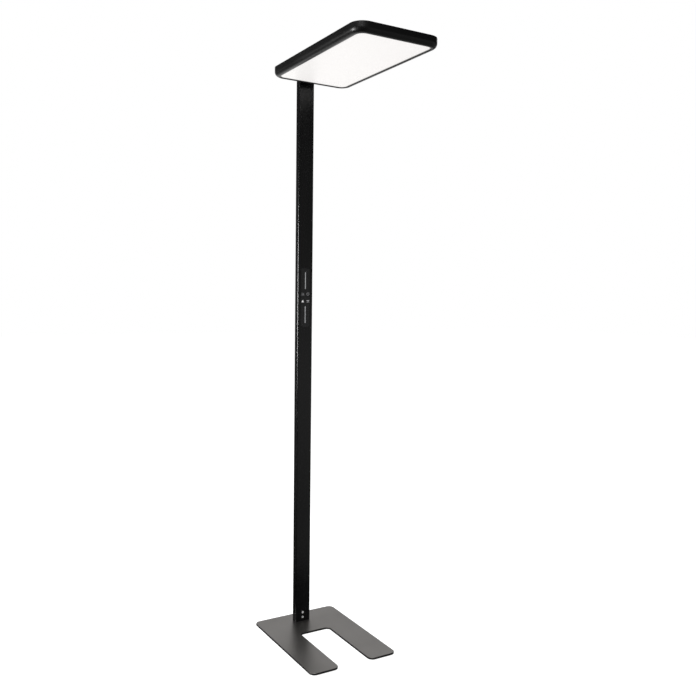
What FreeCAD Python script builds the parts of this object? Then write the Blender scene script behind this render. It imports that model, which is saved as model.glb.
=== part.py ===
"""Office floor lamp: a U-shaped steel foot, a slim aluminium pole with a touch panel,
and a flat light head that throws light down through an opal plate and up through a window.

Frame: +Z up, floor at z = 0, the pole's axis at x = y = 0. The head and the legs of the
foot reach towards -Y, which is the front. All sizes are millimetres.
"""
import FreeCAD, Part
import math
import os

import Sketcher

SIZES = {
    # whole lamp
    "lamp_height": 1950.0,
    # foot plate, its pads and the block that carries the pole
    "base_width": 318.0,
    "base_depth": 445.0,
    "base_thickness": 6.0,
    "base_behind_pole": 60.0,
    "base_corner_radius": 20.0,
    "base_edge_chamfer": 0.8,
    "slot_width": 114.0,
    "slot_depth": 281.0,
    "slot_corner_radius": 15.0,
    "pad_diameter": 16.0,
    "pad_thickness": 1.5,
    "pad_inset": 24.0,
    "block_height": 60.0,
    "block_clearance": 0.3,
    "base_screw_diameter": 8.0,
    "base_screw_spacing": 34.0,
    "base_screw_length": 22.0,
    "base_screw_head": 15.0,
    "foot_screw_diameter": 4.0,
    "foot_screw_length": 9.0,
    "foot_screw_head": 8.0,
    "foot_screw_first": 14.0,
    "foot_screw_pitch": 17.5,
    # pole extrusion and its cap
    "pole_width": 58.0,
    "pole_depth": 25.0,
    "pole_wall": 2.5,
    "pole_corner_radius": 3.5,
    "cap_thickness": 3.0,
    # supply inlet and the lead inside the pole
    "inlet_height": 40.0,
    "gland_bore": 7.5,
    "gland_wall": 3.0,
    "gland_flange": 2.0,
    "gland_lip": 2.0,
    "lead_diameter": 6.0,
    "lead_back_gap": 8.0,
    "lead_bend_radius": 12.0,
    "clip_width": 14.0,
    "clip_height": 10.0,
    "terminal_width": 30.0,
    "terminal_height": 16.0,
    # touch panel in the front of the pole
    "panel_height": 1183.0,
    "panel_length": 206.0,
    "panel_width": 34.0,
    "panel_thickness": 1.2,
    "panel_corner_radius": 4.0,
    "panel_ledge": 2.2,
    "panel_rib": 1.0,
    "slider_length": 60.0,
    "slider_width": 3.0,
    "slider_offset": 60.0,
    "slider_flange": 1.0,
    "chip_size": 8.0,
    "board_thickness": 1.6,
    "panel_clearance": 0.2,
    "thread_slack": 0.05,
    # light head: housing
    "head_width": 293.0,
    "head_length": 564.0,
    "head_thickness": 30.0,
    "head_gap": 16.0,
    "head_corner_radius": 41.5,
    "head_edge_radius": 15.0,
    "head_wall": 3.0,
    "head_top_chamfer": 0.6,
    "rim_width": 17.0,
    "rim_lip": 2.5,
    "seat_inset": 9.5,
    # light head: plates
    "diffuser_thickness": 1.5,
    "guide_thickness": 3.5,
    "reflector_thickness": 0.5,
    "tray_thickness": 2.5,
    "cover_thickness": 1.5,
    "sheet_clearance": 0.3,
    "strip_thickness": 1.2,
    "strip_led_height": 0.8,
    "strip_gap": 0.5,
    # light head: arm, posts, driver and uplight
    "arm_width": 40.0,
    "arm_reach": 95.0,
    "arm_headroom": 4.0,
    "groove_floor": 4.0,
    "arm_screw_diameter": 4.0,
    "arm_screw_head": 7.0,
    "arm_screw_spacing": 26.0,
    "arm_screw_pitch": 50.0,
    "bracket_height": 60.0,
    "bracket_screw_diameter": 5.0,
    "bracket_screw_length": 12.0,
    "bracket_screw_spacing": 30.0,
    "pillar_size": 7.0,
    "cover_screw_inset": 7.0,
    "cover_screw_diameter": 3.0,
    "cover_screw_head": 5.5,
    "cover_screw_grip": 3.5,
    "driver_depth": 40.0,
    "driver_side_margin": 41.5,
    "driver_ear": 9.0,
    "driver_ear_thickness": 2.0,
    "driver_screw_diameter": 3.0,
    "driver_headroom": 1.0,
    "bay_gap": 3.0,
    "window_side_margin": 24.0,
    "window_front_margin": 24.0,
    "window_back_gap": 16.0,
    "window_corner_radius": 12.0,
    "window_flange": 6.0,
    "uplight_board_depth": 18.0,
    "uplight_end_gap": 12.0,
}

# Counts of what repeats.
STRIP_LEDS = 24
UPLIGHT_BOARDS = 4
UPLIGHT_LEDS = 9
LEAD_CLIPS = 4

# Slope of countersunk heads, in degrees from their axis.
SINK_SLOPE = 45.0


class Size:
    """A length that carries both its number and the sheet expression it comes from."""

    def __init__(self, number, text):
        self.number = number
        self.text = text

    def __add__(self, other):
        return joined(self, "+", other)

    def __radd__(self, other):
        return joined(other, "+", self)

    def __sub__(self, other):
        return joined(self, "-", other)

    def __rsub__(self, other):
        return joined(other, "-", self)

    def __mul__(self, other):
        return joined(self, "*", other)

    def __rmul__(self, other):
        return joined(other, "*", self)

    def __truediv__(self, other):
        return joined(self, "/", other)

    def __neg__(self):
        return joined(0.0, "-", self)


def as_size(value):
    """A plain number becomes a Size with itself as its expression."""
    if isinstance(value, Size):
        return value
    return Size(float(value), repr(float(value)))


def joined(left, sign, right):
    """Arithmetic on the numbers and, alike, on the expressions."""
    left, right = as_size(left), as_size(right)
    numbers = {
        "+": lambda a, b: a + b,
        "-": lambda a, b: a - b,
        "*": lambda a, b: a * b,
        "/": lambda a, b: a / b,
    }
    return Size(numbers[sign](left.number, right.number), f"({left.text} {sign} {right.text})")


doc = FreeCAD.newDocument("office_floor_lamp")
sheet = doc.addObject("Spreadsheet::Sheet", "dims")
for row, (alias, number) in enumerate(SIZES.items(), start=1):
    sheet.set(f"A{row}", alias)
    sheet.set(f"B{row}", str(number))
    sheet.setAlias(f"B{row}", alias)
doc.recompute()
dim = {alias: Size(number, f"dims.{alias}") for alias, number in SIZES.items()}
nodes = []


# ---------------------------------------------------------------- building helpers

def new_body(label, x=0.0, y=0.0, z=0.0):
    """A body whose place in the lamp is bound to the sheet."""
    body = doc.addObject("PartDesign::Body", label)
    body.Label = label
    for axis, value in zip("xyz", (x, y, z)):
        body.setExpression(f"Placement.Base.{axis}", as_size(value).text)
    nodes.append(body)
    return body


def new_sketch(body, role, offset=0.0):
    """A sketch on one of the body's own origin planes, moved along that plane's normal."""
    sketch = body.newObject("Sketcher::SketchObject", f"{body.Label}_sketch")
    plane = next(item for item in body.Origin.OriginFeatures if item.Role == role)
    sketch.AttachmentSupport = [(plane, "")]
    sketch.MapMode = "FlatFace"
    sketch.setExpression("AttachmentOffset.Base.z", as_size(offset).text)
    return sketch


def bind(sketch, kind, items, value):
    """One sketch dimension, driven by the sheet."""
    index = sketch.addConstraint(Sketcher.Constraint(kind, *items, value.number))
    sketch.setExpression(f"Constraints[{index}]", value.text)


def bind_place(sketch, kind, item, point, value):
    """Distance of a point from the sketch's origin, along one axis, on either side of it."""
    value = as_size(value)
    if value.number == 0.0:
        axis = -2 if kind == "DistanceX" else -1
        sketch.addConstraint(Sketcher.Constraint("PointOnObject", item, point, axis))
    elif value.number > 0.0:
        bind(sketch, kind, (-1, 1, item, point), value)
    else:
        bind(sketch, kind, (item, point, -1, 1), -value)


def circle(sketch, x, y, radius):
    """A circle at a dimensioned place."""
    x, y, radius = as_size(x), as_size(y), as_size(radius)
    centre = FreeCAD.Vector(x.number, y.number, 0)
    item = sketch.addGeometry(Part.Circle(centre, FreeCAD.Vector(0, 0, 1), radius.number))
    bind_place(sketch, "DistanceX", item, 3, x)
    bind_place(sketch, "DistanceY", item, 3, y)
    bind(sketch, "Radius", (item,), radius)


def outline(sketch, corners, closed=True):
    """Level and upright lines from corner to corner; each corner is (x, y, radius or 0).

    Neighbouring corners share one coordinate. A corner with a radius is a tangent arc.
    An open outline is a path: its two ends are dimensioned and have no radius.
    """
    corners = [tuple(as_size(value) for value in corner) for corner in corners]
    places = [FreeCAD.Vector(x.number, y.number, 0) for x, y, _ in corners]
    count = len(corners)
    spans = count if closed else count - 1
    steps = []
    for index in range(spans):
        step = places[(index + 1) % count] - places[index]
        steps.append(step.normalize())
    lines = []
    for index in range(spans):
        after = (index + 1) % count
        start = places[index] + steps[index] * corners[index][2].number
        end = places[after] - steps[index] * corners[after][2].number
        line = sketch.addGeometry(Part.LineSegment(start, end))
        lines.append(line)
        level = abs(steps[index].x) > abs(steps[index].y)
        sketch.addConstraint(Sketcher.Constraint("Horizontal" if level else "Vertical", line))
        if level:
            bind_place(sketch, "DistanceY", line, 1, corners[index][1])
        else:
            bind_place(sketch, "DistanceX", line, 1, corners[index][0])
    if not closed:
        for line, point, corner in ((lines[0], 1, corners[0]), (lines[-1], 2, corners[-1])):
            upright = abs(steps[lines.index(line)].y) > 0.5
            kind, value = ("DistanceY", corner[1]) if upright else ("DistanceX", corner[0])
            bind_place(sketch, kind, line, point, value)
    for index in range(0 if closed else 1, count if closed else count - 1):
        before = (index - 1) % count
        radius = corners[index][2]
        if radius.number == 0.0:
            join = Sketcher.Constraint("Coincident", lines[before], 2, lines[index], 1)
            sketch.addConstraint(join)
            continue
        first = places[index] - steps[before] * radius.number
        last = places[index] + steps[index] * radius.number
        centre = first + steps[index] * radius.number
        left_turn = steps[before].cross(steps[index]).z > 0
        start, end = (first, last) if left_turn else (last, first)
        from_angle = math.atan2(start.y - centre.y, start.x - centre.x)
        to_angle = math.atan2(end.y - centre.y, end.x - centre.x)
        round_line = Part.Circle(centre, FreeCAD.Vector(0, 0, 1), radius.number)
        arc = sketch.addGeometry(Part.ArcOfCircle(round_line, from_angle, to_angle))
        arc_in, arc_out = (1, 2) if left_turn else (2, 1)
        sketch.addConstraint(Sketcher.Constraint("Tangent", lines[before], 2, arc, arc_in))
        sketch.addConstraint(Sketcher.Constraint("Tangent", arc, arc_out, lines[index], 1))
        bind(sketch, "Radius", (arc,), radius)


def box_corners(x_low, x_high, y_low, y_high, radius=0.0):
    """Corners of a rectangle, counter-clockwise, all with one radius."""
    return [
        (x_low, y_low, radius),
        (x_high, y_low, radius),
        (x_high, y_high, radius),
        (x_low, y_high, radius),
    ]


def centred_box(width, height, radius=0.0):
    """Corners of a rectangle about the sketch's origin."""
    return box_corners(-width / 2, width / 2, -height / 2, height / 2, radius)


def solid_feature(body, kind, sketch, length, reverse):
    """A pad or pocket of a bound length; a pocket must take material away."""
    before = body.Shape.Volume if body.Tip else 0.0
    feature = body.newObject(kind, f"{body.Label}_step")
    feature.Profile = sketch
    feature.Reversed = reverse
    feature.Length = as_size(length).number
    feature.setExpression("Length", as_size(length).text)
    sketch.Visibility = False
    doc.recompute()
    grown = body.Shape.Volume - before
    expected = grown > 1e-6 if kind == "PartDesign::Pad" else grown < -1e-6
    if not expected:
        raise RuntimeError(f"{body.Label}: {feature.Name} changed the volume by {grown}")
    return feature


def pad(body, sketch, length, reverse=False):
    """Material grown from the sketch along its plane's normal, or against it."""
    return solid_feature(body, "PartDesign::Pad", sketch, length, reverse)


def pocket(body, sketch, length, reverse=False):
    """Material cut from the sketch against its plane's normal, or along it."""
    return solid_feature(body, "PartDesign::Pocket", sketch, length, reverse)


def sunk_head(body, sketch, depth, reverse=False):
    """A countersunk head: it narrows from the sketch's circles down to the shank."""
    head = pad(body, sketch, depth, reverse)
    head.TaperAngle = -SINK_SLOPE
    doc.recompute()
    return head


def edges_where(feature, chosen):
    """Names of a feature's edges for which chosen(edge) holds."""
    edges = enumerate(feature.Shape.Edges, start=1)
    return [f"Edge{index}" for index, edge in edges if chosen(edge)]


def at_level(edge, level):
    """True for an edge that lies wholly at one height."""
    box = edge.BoundBox
    return abs(box.ZMin - level) < 1e-4 and abs(box.ZMax - level) < 1e-4


def round_edge(edge, radius):
    """True for a full circle of the given radius."""
    return (isinstance(edge.Curve, Part.Circle) and edge.isClosed()
            and abs(edge.Curve.Radius - radius.number) < 1e-4)


def dress(body, kind, feature, edges, size_name, value):
    """A fillet or chamfer of a bound size on the named edges."""
    dressed = body.newObject(kind, f"{body.Label}_edge")
    dressed.Base = (feature, edges)
    setattr(dressed, size_name, value.number)
    dressed.setExpression(size_name, value.text)
    doc.recompute()
    return dressed


def fillet(body, feature, edges, radius):
    """Rounded edges."""
    return dress(body, "PartDesign::Fillet", feature, edges, "Radius", radius)


def chamfer(body, feature, edges, width):
    """Bevelled edges."""
    return dress(body, "PartDesign::Chamfer", feature, edges, "Size", width)


# ---------------------------------------------------------------- places worked out once

plate_bottom = dim["pad_thickness"]
plate_top = plate_bottom + dim["base_thickness"]
base_front = dim["base_depth"] - dim["base_behind_pole"]
leg_width = (dim["base_width"] - dim["slot_width"]) / 2
leg_centre = dim["slot_width"] / 2 + leg_width / 2
bore_width = dim["pole_width"] - 2 * dim["pole_wall"]
bore_depth = dim["pole_depth"] - 2 * dim["pole_wall"]
bore_radius = dim["pole_corner_radius"] / 3
block_width = bore_width - 2 * dim["block_clearance"]
block_depth = bore_depth - 2 * dim["block_clearance"]
block_top = plate_top + dim["block_height"]
terminal_depth = block_depth - 2.0
terminal_top = block_top + dim["terminal_height"]
pole_top = dim["lamp_height"] - dim["cap_thickness"]
lead_y = bore_depth / 2 - dim["lead_back_gap"]
gland_centre = plate_top + dim["inlet_height"]
gland_neck = dim["gland_bore"] / 2 + dim["gland_wall"]
window_half_width = dim["panel_width"] / 2 - dim["panel_ledge"]
window_half_height = dim["panel_length"] / 2 - dim["panel_ledge"]
board_half_width = window_half_width - dim["panel_clearance"]
board_half_height = window_half_height - dim["panel_clearance"]
window_radius = dim["panel_corner_radius"] / 2
board_radius = window_radius - dim["panel_clearance"]
rib_height = dim["pole_wall"] - dim["panel_thickness"]

head_back = dim["pole_depth"] / 2 + dim["head_gap"]
head_centre = -(head_back + dim["head_length"] / 2)
head_bottom = dim["lamp_height"] - dim["head_thickness"]
stack_height = dim["diffuser_thickness"] + dim["guide_thickness"] + dim["reflector_thickness"]
ledge_level = dim["rim_lip"] + stack_height
tray_level = ledge_level + dim["tray_thickness"]
cover_level = dim["head_thickness"] - dim["cover_thickness"]
chamber_height = cover_level - tray_level
arm_height = chamber_height - dim["arm_headroom"]
arm_bottom = head_bottom + tray_level
arm_top = arm_bottom + arm_height
lead_level = arm_bottom + dim["groove_floor"] + dim["lead_diameter"] / 2 + 0.5
guide_inset = (dim["seat_inset"] + dim["strip_thickness"] + dim["strip_led_height"]
               + dim["strip_gap"])
sheet_inset = dim["head_wall"] + dim["sheet_clearance"]
half_length = dim["head_length"] / 2
half_width = dim["head_width"] / 2
arm_end = half_length - dim["arm_reach"]
terminal_back = arm_end - dim["bay_gap"]
head_terminal_depth = dim["terminal_height"]
driver_back = terminal_back - head_terminal_depth - dim["bay_gap"]
driver_front = driver_back - dim["driver_depth"]
driver_height = chamber_height - dim["driver_headroom"]
driver_length = dim["head_width"] - 2 * dim["driver_side_margin"]
window_back = driver_front - dim["window_back_gap"]
window_front = -(half_length - dim["window_front_margin"])
window_length = window_back - window_front
window_width = dim["head_width"] - 2 * dim["window_side_margin"]


def cover_screw_places():
    """Centres of the screws along the head's two long sides, in the head's own plan."""
    side = half_width - dim["cover_screw_inset"]
    along = half_length - dim["head_corner_radius"] - dim["pillar_size"]
    return [(x, y) for x in (-side, side) for y in (-along, 0.0, along)]


def arm_screw_places():
    """Centres of the screws that hold the arm to the tray, in the head's own plan."""
    half = dim["arm_screw_spacing"] / 2
    middle = half_length - dim["arm_reach"] / 2
    reach = dim["arm_screw_pitch"] / 2
    return [(x, y) for x in (-half, half) for y in (middle - reach, middle + reach)]


def bracket_screw_places():
    """(x, z) of the screws in the pole's back, with z from the arm's underside."""
    half = dim["bracket_screw_spacing"] / 2
    middle = arm_height - dim["bracket_height"] / 2
    return [(-half, middle), (half, middle)]


def driver_screw_places():
    """Centres of the screws through the driver's two ears."""
    middle = driver_back - dim["driver_depth"] / 2
    reach = driver_length / 2 - dim["driver_ear"] / 2
    return [(-reach, middle), (reach, middle)]


# ---------------------------------------------------------------- foot

def base_plate():
    """Flat steel U: the legs pass either side of a desk's or chair's foot."""
    body = new_body("base_plate", z=plate_bottom)
    sketch = new_sketch(body, "XY_Plane")
    wide, slot = dim["base_width"] / 2, dim["slot_width"] / 2
    back, front = dim["base_behind_pole"], -base_front
    slot_back = front + dim["slot_depth"]
    outer, inner = dim["base_corner_radius"], dim["slot_corner_radius"]
    outline(sketch, [
        (-wide, front, outer),
        (-slot, front, outer),
        (-slot, slot_back, inner),
        (slot, slot_back, inner),
        (slot, front, outer),
        (wide, front, outer),
        (wide, back, outer),
        (-wide, back, outer),
    ])
    plate = pad(body, sketch, dim["base_thickness"])
    level = plate_top.number - plate_bottom.number
    rim = edges_where(plate, lambda edge: at_level(edge, level))
    chamfer(body, plate, rim, dim["base_edge_chamfer"])
    bores = new_sketch(body, "XY_Plane")
    hole = dim["base_screw_diameter"] / 2 + dim["block_clearance"]
    for side in (-1, 1):
        circle(bores, side * dim["base_screw_spacing"] / 2, 0.0, hole)
    bored = pocket(body, bores, dim["base_thickness"], reverse=True)
    mouths = edges_where(bored, lambda edge: round_edge(edge, hole) and at_level(edge, 0.0))
    sink = (dim["base_screw_head"] - dim["base_screw_diameter"]) / 2
    chamfer(body, bored, mouths, sink)


def base_pads():
    """Round self-adhesive pads, one right under the pole."""
    body = new_body("base_pads")
    sketch = new_sketch(body, "XY_Plane")
    radius = dim["pad_diameter"] / 2
    inset = dim["pad_inset"]
    circle(sketch, 0.0, 0.0, radius)
    for side in (-1, 1):
        circle(sketch, side * (dim["base_width"] / 2 - inset),
               dim["base_behind_pole"] - inset, radius)
        circle(sketch, side * leg_centre, -(base_front - inset), radius)
    pad(body, sketch, dim["pad_thickness"])


def foot_block():
    """Steel block inside the pole's foot, with a channel for the supply cord behind."""
    body = new_body("foot_block", z=plate_top)
    sketch = new_sketch(body, "XY_Plane")
    outline(sketch, centred_box(block_width, block_depth, bore_radius))
    pad(body, sketch, dim["block_height"])
    bores = new_sketch(body, "XY_Plane")
    for side in (-1, 1):
        circle(bores, side * dim["base_screw_spacing"] / 2, 0.0,
               dim["base_screw_diameter"] / 2)
    pocket(body, bores, dim["base_screw_length"], reverse=True)
    taps = new_sketch(body, "XZ_Plane", block_depth / 2)
    for step in (0, 1):
        circle(taps, 0.0, dim["foot_screw_first"] + step * dim["foot_screw_pitch"],
               dim["foot_screw_diameter"] / 2)
    pocket(body, taps, dim["foot_screw_length"])
    channel = new_sketch(body, "XY_Plane", dim["block_height"])
    half = gland_neck + dim["gland_lip"] + dim["block_clearance"]
    outline(channel, box_corners(-half, half, 0.0, dim["pole_depth"] / 2))
    depth = dim["block_height"] - dim["inlet_height"] + half
    pocket(body, channel, depth)


def base_screws():
    """Countersunk screws that come up through the plate into the block."""
    body = new_body("base_screws", z=plate_bottom)
    sketch = new_sketch(body, "XY_Plane")
    for side in (-1, 1):
        circle(sketch, side * dim["base_screw_spacing"] / 2, 0.0,
               dim["base_screw_diameter"] / 2 - dim["thread_slack"])
    pad(body, sketch, dim["base_thickness"] + dim["base_screw_length"] - 1.0)
    heads = new_sketch(body, "XY_Plane")
    for side in (-1, 1):
        circle(heads, side * dim["base_screw_spacing"] / 2, 0.0, dim["base_screw_head"] / 2)
    sink = (dim["base_screw_head"] - dim["base_screw_diameter"]) / 2
    sunk_head(body, heads, sink)


def foot_screws():
    """Two countersunk screws in the pole's front that pin it to the block."""
    body = new_body("foot_screws", y=-dim["pole_depth"] / 2, z=plate_top)
    shanks = new_sketch(body, "XZ_Plane")
    heads = new_sketch(body, "XZ_Plane")
    for step in (0, 1):
        level = dim["foot_screw_first"] + step * dim["foot_screw_pitch"]
        circle(shanks, 0.0, level, dim["foot_screw_diameter"] / 2 - dim["thread_slack"])
        circle(heads, 0.0, level, dim["foot_screw_head"] / 2)
    pad(body, shanks, dim["pole_wall"] + dim["foot_screw_length"] - 0.5, reverse=True)
    sink = (dim["foot_screw_head"] - dim["foot_screw_diameter"]) / 2
    sunk_head(body, heads, sink, reverse=True)


# ---------------------------------------------------------------- pole

def pole():
    """Black extruded box section with every opening that its fittings need."""
    body = new_body("pole", z=plate_top)
    section = new_sketch(body, "XY_Plane")
    outline(section, centred_box(dim["pole_width"], dim["pole_depth"],
                                 dim["pole_corner_radius"]))
    outline(section, centred_box(bore_width, bore_depth, bore_radius))
    pad(body, section, pole_top - plate_top)

    front = dim["pole_depth"] / 2
    recess = new_sketch(body, "XZ_Plane", front)
    level = dim["panel_height"] - plate_top
    slack = 2 * dim["panel_clearance"]
    wide, tall = (dim["panel_width"] + slack) / 2, (dim["panel_length"] + slack) / 2
    outline(recess, box_corners(-wide, wide, level - tall, level + tall,
                                dim["panel_corner_radius"]))
    pocket(body, recess, dim["panel_thickness"])
    window = new_sketch(body, "XZ_Plane", front)
    wide, tall = window_half_width, window_half_height
    outline(window, box_corners(-wide, wide, level - tall, level + tall, window_radius))
    pocket(body, window, dim["pole_wall"])

    notch = new_sketch(body, "XZ_Plane", front)
    half = dim["arm_width"] / 2 + dim["block_clearance"]
    outline(notch, box_corners(-half, half, arm_bottom - plate_top,
                               dim["lamp_height"] - plate_top))
    pocket(body, notch, dim["pole_wall"])

    pins = new_sketch(body, "XZ_Plane", front)
    for step in (0, 1):
        circle(pins, 0.0, dim["foot_screw_first"] + step * dim["foot_screw_pitch"],
               dim["foot_screw_diameter"] / 2 + dim["panel_clearance"])
    pinned = pocket(body, pins, dim["pole_wall"])
    hole = dim["foot_screw_diameter"] / 2 + dim["panel_clearance"]
    mouths = edges_where(pinned, lambda edge: round_edge(edge, hole)
                         and abs(edge.BoundBox.YMin + front.number) < 1e-4)
    chamfer(body, pinned, mouths, (dim["foot_screw_head"] - dim["foot_screw_diameter"]) / 2)

    rear = new_sketch(body, "XZ_Plane", -front)
    circle(rear, 0.0, dim["inlet_height"], gland_neck)
    for x, z in bracket_screw_places():
        circle(rear, x, z + arm_bottom - plate_top,
               dim["bracket_screw_diameter"] / 2 + dim["panel_clearance"])
    pocket(body, rear, dim["pole_wall"], reverse=True)


def pole_cap():
    """Moulded cap: a plug down to the bracket and a tab that closes the notch."""
    body = new_body("pole_cap", z=pole_top)
    sketch = new_sketch(body, "XY_Plane")
    outline(sketch, centred_box(dim["pole_width"], dim["pole_depth"],
                                dim["pole_corner_radius"]))
    plate = pad(body, sketch, dim["cap_thickness"])
    rim = edges_where(plate, lambda edge: at_level(edge, SIZES["cap_thickness"]))
    chamfer(body, plate, rim, dim["cap_thickness"] / 4)
    plug = new_sketch(body, "XY_Plane")
    depth = pole_top - arm_top - dim["panel_clearance"]
    outline(plug, centred_box(block_width, block_depth, bore_radius))
    pad(body, plug, depth, reverse=True)
    tab = new_sketch(body, "XY_Plane")
    half = dim["arm_width"] / 2
    outline(tab, box_corners(-half, half, -dim["pole_depth"] / 2, 0.0))
    pad(body, tab, depth, reverse=True)


def supply_gland():
    """Rubber gland in the pole's back for the supply cord."""
    body = new_body("supply_gland", y=dim["pole_depth"] / 2, z=gland_centre)
    sketch = new_sketch(body, "YZ_Plane")
    bore, neck = dim["gland_bore"] / 2, gland_neck
    flange = neck + dim["gland_flange"] + dim["gland_lip"] / 2
    lip = neck + dim["gland_lip"]
    inside = -(dim["pole_wall"] + dim["gland_lip"])
    outline(sketch, [
        (inside, bore, 0.0),
        (dim["gland_flange"], bore, 0.0),
        (dim["gland_flange"], flange, 0.0),
        (0.0, flange, 0.0),
        (0.0, neck, 0.0),
        (-dim["pole_wall"], neck, 0.0),
        (-dim["pole_wall"], lip, 0.0),
        (inside, lip, 0.0),
    ])
    turned = body.newObject("PartDesign::Revolution", "supply_gland_turn")
    turned.Profile = sketch
    turned.ReferenceAxis = (sketch, ["H_Axis"])
    turned.Angle = 360.0


def wire_wells(sketch, middle):
    """Three square wire entries side by side."""
    half = dim["terminal_width"] / 12
    for place in (-1, 0, 1):
        x = place * dim["terminal_width"] / 3.5
        outline(sketch, box_corners(x - half, x + half, middle - half, middle + half))


def supply_terminal():
    """Terminal block on the foot block, with its wire entries to the front."""
    body = new_body("supply_terminal", z=block_top)
    sketch = new_sketch(body, "XY_Plane")
    outline(sketch, centred_box(dim["terminal_width"], terminal_depth))
    pad(body, sketch, dim["terminal_height"])
    wells = new_sketch(body, "XZ_Plane", terminal_depth / 2)
    wire_wells(wells, dim["terminal_height"] / 2)
    pocket(body, wells, terminal_depth / 4)


def pole_lead():
    """Sheathed lead from the supply terminal up the pole and along the arm."""
    body = new_body("pole_lead")
    route = new_sketch(body, "YZ_Plane")
    outline(route, [
        (lead_y, terminal_top, 0.0),
        (lead_y, lead_level, dim["lead_bend_radius"]),
        (head_centre + terminal_back, lead_level, 0.0),
    ], closed=False)
    ring = new_sketch(body, "XY_Plane", terminal_top)
    circle(ring, 0.0, lead_y, dim["lead_diameter"] / 2)
    pipe = body.newObject("PartDesign::AdditivePipe", "pole_lead_pipe")
    pipe.Profile = ring
    pipe.Spine = route


def lead_clips():
    """Clips on the pole's back wall, evenly spaced between terminal and bracket."""
    body = new_body("lead_clips", z=terminal_top)
    free = arm_top - dim["bracket_height"] - terminal_top
    half = dim["clip_width"] / 2
    front = lead_y - dim["lead_diameter"] / 2 - dim["clip_height"] / 5
    for step in range(1, LEAD_CLIPS + 1):
        level = free * step / (LEAD_CLIPS + 1) - dim["clip_height"] / 2
        sketch = new_sketch(body, "XY_Plane", level)
        outline(sketch, box_corners(-half, half, front, bore_depth / 2))
        circle(sketch, 0.0, lead_y, dim["lead_diameter"] / 2 + dim["thread_slack"])
        pad(body, sketch, dim["clip_height"])


# ---------------------------------------------------------------- touch panel

def touch_panel():
    """Black panel in the pole's front, ribbed behind to carry its board."""
    body = new_body("touch_panel", y=-dim["pole_depth"] / 2, z=dim["panel_height"])
    face = new_sketch(body, "XZ_Plane")
    outline(face, centred_box(dim["panel_width"], dim["panel_length"],
                              dim["panel_corner_radius"]))
    for side in (-1, 1):
        middle = side * dim["slider_offset"]
        half, tall = dim["slider_width"] / 2, dim["slider_length"] / 2
        outline(face, box_corners(-half, half, middle - tall, middle + tall, half - 0.1))
    pad(body, face, dim["panel_thickness"], reverse=True)
    rib = new_sketch(body, "XZ_Plane", -dim["panel_thickness"])
    wide, tall = board_half_width, board_half_height
    outline(rib, box_corners(-wide, wide, -tall, tall, board_radius))
    wide, tall = wide - dim["panel_rib"], tall - dim["panel_rib"]
    outline(rib, box_corners(-wide, wide, -tall, tall))
    pad(body, rib, rib_height, reverse=True)


def slider_light(label, side):
    """Clear bar in one of the panel's slots, with a flange behind the panel."""
    body = new_body(label, y=-dim["pole_depth"] / 2,
                    z=dim["panel_height"] + side * dim["slider_offset"])
    bar = new_sketch(body, "XZ_Plane")
    slack = dim["thread_slack"]
    half, tall = dim["slider_width"] / 2 - slack, dim["slider_length"] / 2 - slack
    outline(bar, box_corners(-half, half, -tall, tall, half - 0.1))
    pad(body, bar, dim["panel_thickness"], reverse=True)
    flange = new_sketch(body, "XZ_Plane", -dim["panel_thickness"])
    half, tall = half + dim["slider_flange"], tall + dim["slider_flange"]
    outline(flange, box_corners(-half, half, -tall, tall))
    pad(body, flange, rib_height, reverse=True)


def touch_board():
    """Circuit board behind the panel with its controller and plug."""
    body = new_body("touch_board", y=dim["pole_wall"] - dim["pole_depth"] / 2,
                    z=dim["panel_height"])
    board = new_sketch(body, "XZ_Plane")
    wide, tall = board_half_width, board_half_height
    outline(board, box_corners(-wide, wide, -tall, tall, board_radius))
    pad(body, board, dim["board_thickness"], reverse=True)
    behind = -dim["board_thickness"]
    chip = new_sketch(body, "XZ_Plane", behind)
    half = dim["chip_size"] / 2
    outline(chip, box_corners(-half, half, -half, half))
    pad(body, chip, dim["panel_thickness"], reverse=True)
    plug = new_sketch(body, "XZ_Plane", behind)
    outline(plug, box_corners(-2 * half, 2 * half, -tall * 0.9, -tall * 0.9 + half * 1.5))
    pad(body, plug, 2 * dim["board_thickness"], reverse=True)


# ---------------------------------------------------------------- bracket at the pole's top

def head_bracket():
    """Cast bracket: a block in the pole's top and an arm that reaches into the head."""
    body = new_body("head_bracket", z=arm_bottom)
    foot = arm_height - dim["bracket_height"]
    block = new_sketch(body, "XY_Plane", foot)
    outline(block, centred_box(block_width, block_depth, bore_radius))
    pad(body, block, dim["bracket_height"])
    arm = new_sketch(body, "XY_Plane")
    half = dim["arm_width"] / 2
    outline(arm, box_corners(-half, half, -(head_back + dim["arm_reach"]), 0.0))
    pad(body, arm, arm_height)
    groove_half = dim["lead_diameter"] / 2 + dim["block_clearance"]
    channel = new_sketch(body, "XY_Plane", arm_height)
    outline(channel, box_corners(-groove_half, groove_half, -block_depth / 2,
                                 lead_y + groove_half))
    pocket(body, channel, dim["bracket_height"])
    groove = new_sketch(body, "XY_Plane", arm_height)
    outline(groove, box_corners(-groove_half, groove_half,
                                -(head_back + dim["arm_reach"]), 0.0))
    pocket(body, groove, arm_height - dim["groove_floor"])
    bores = new_sketch(body, "XY_Plane", arm_height)
    for x, y in arm_screw_places():
        circle(bores, x, y + head_centre,
               dim["arm_screw_diameter"] / 2 + dim["panel_clearance"])
    pocket(body, bores, arm_height)
    taps = new_sketch(body, "XZ_Plane", -block_depth / 2)
    for x, z in bracket_screw_places():
        circle(taps, x, z, dim["bracket_screw_diameter"] / 2)
    pocket(body, taps, dim["bracket_screw_length"], reverse=True)


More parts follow.
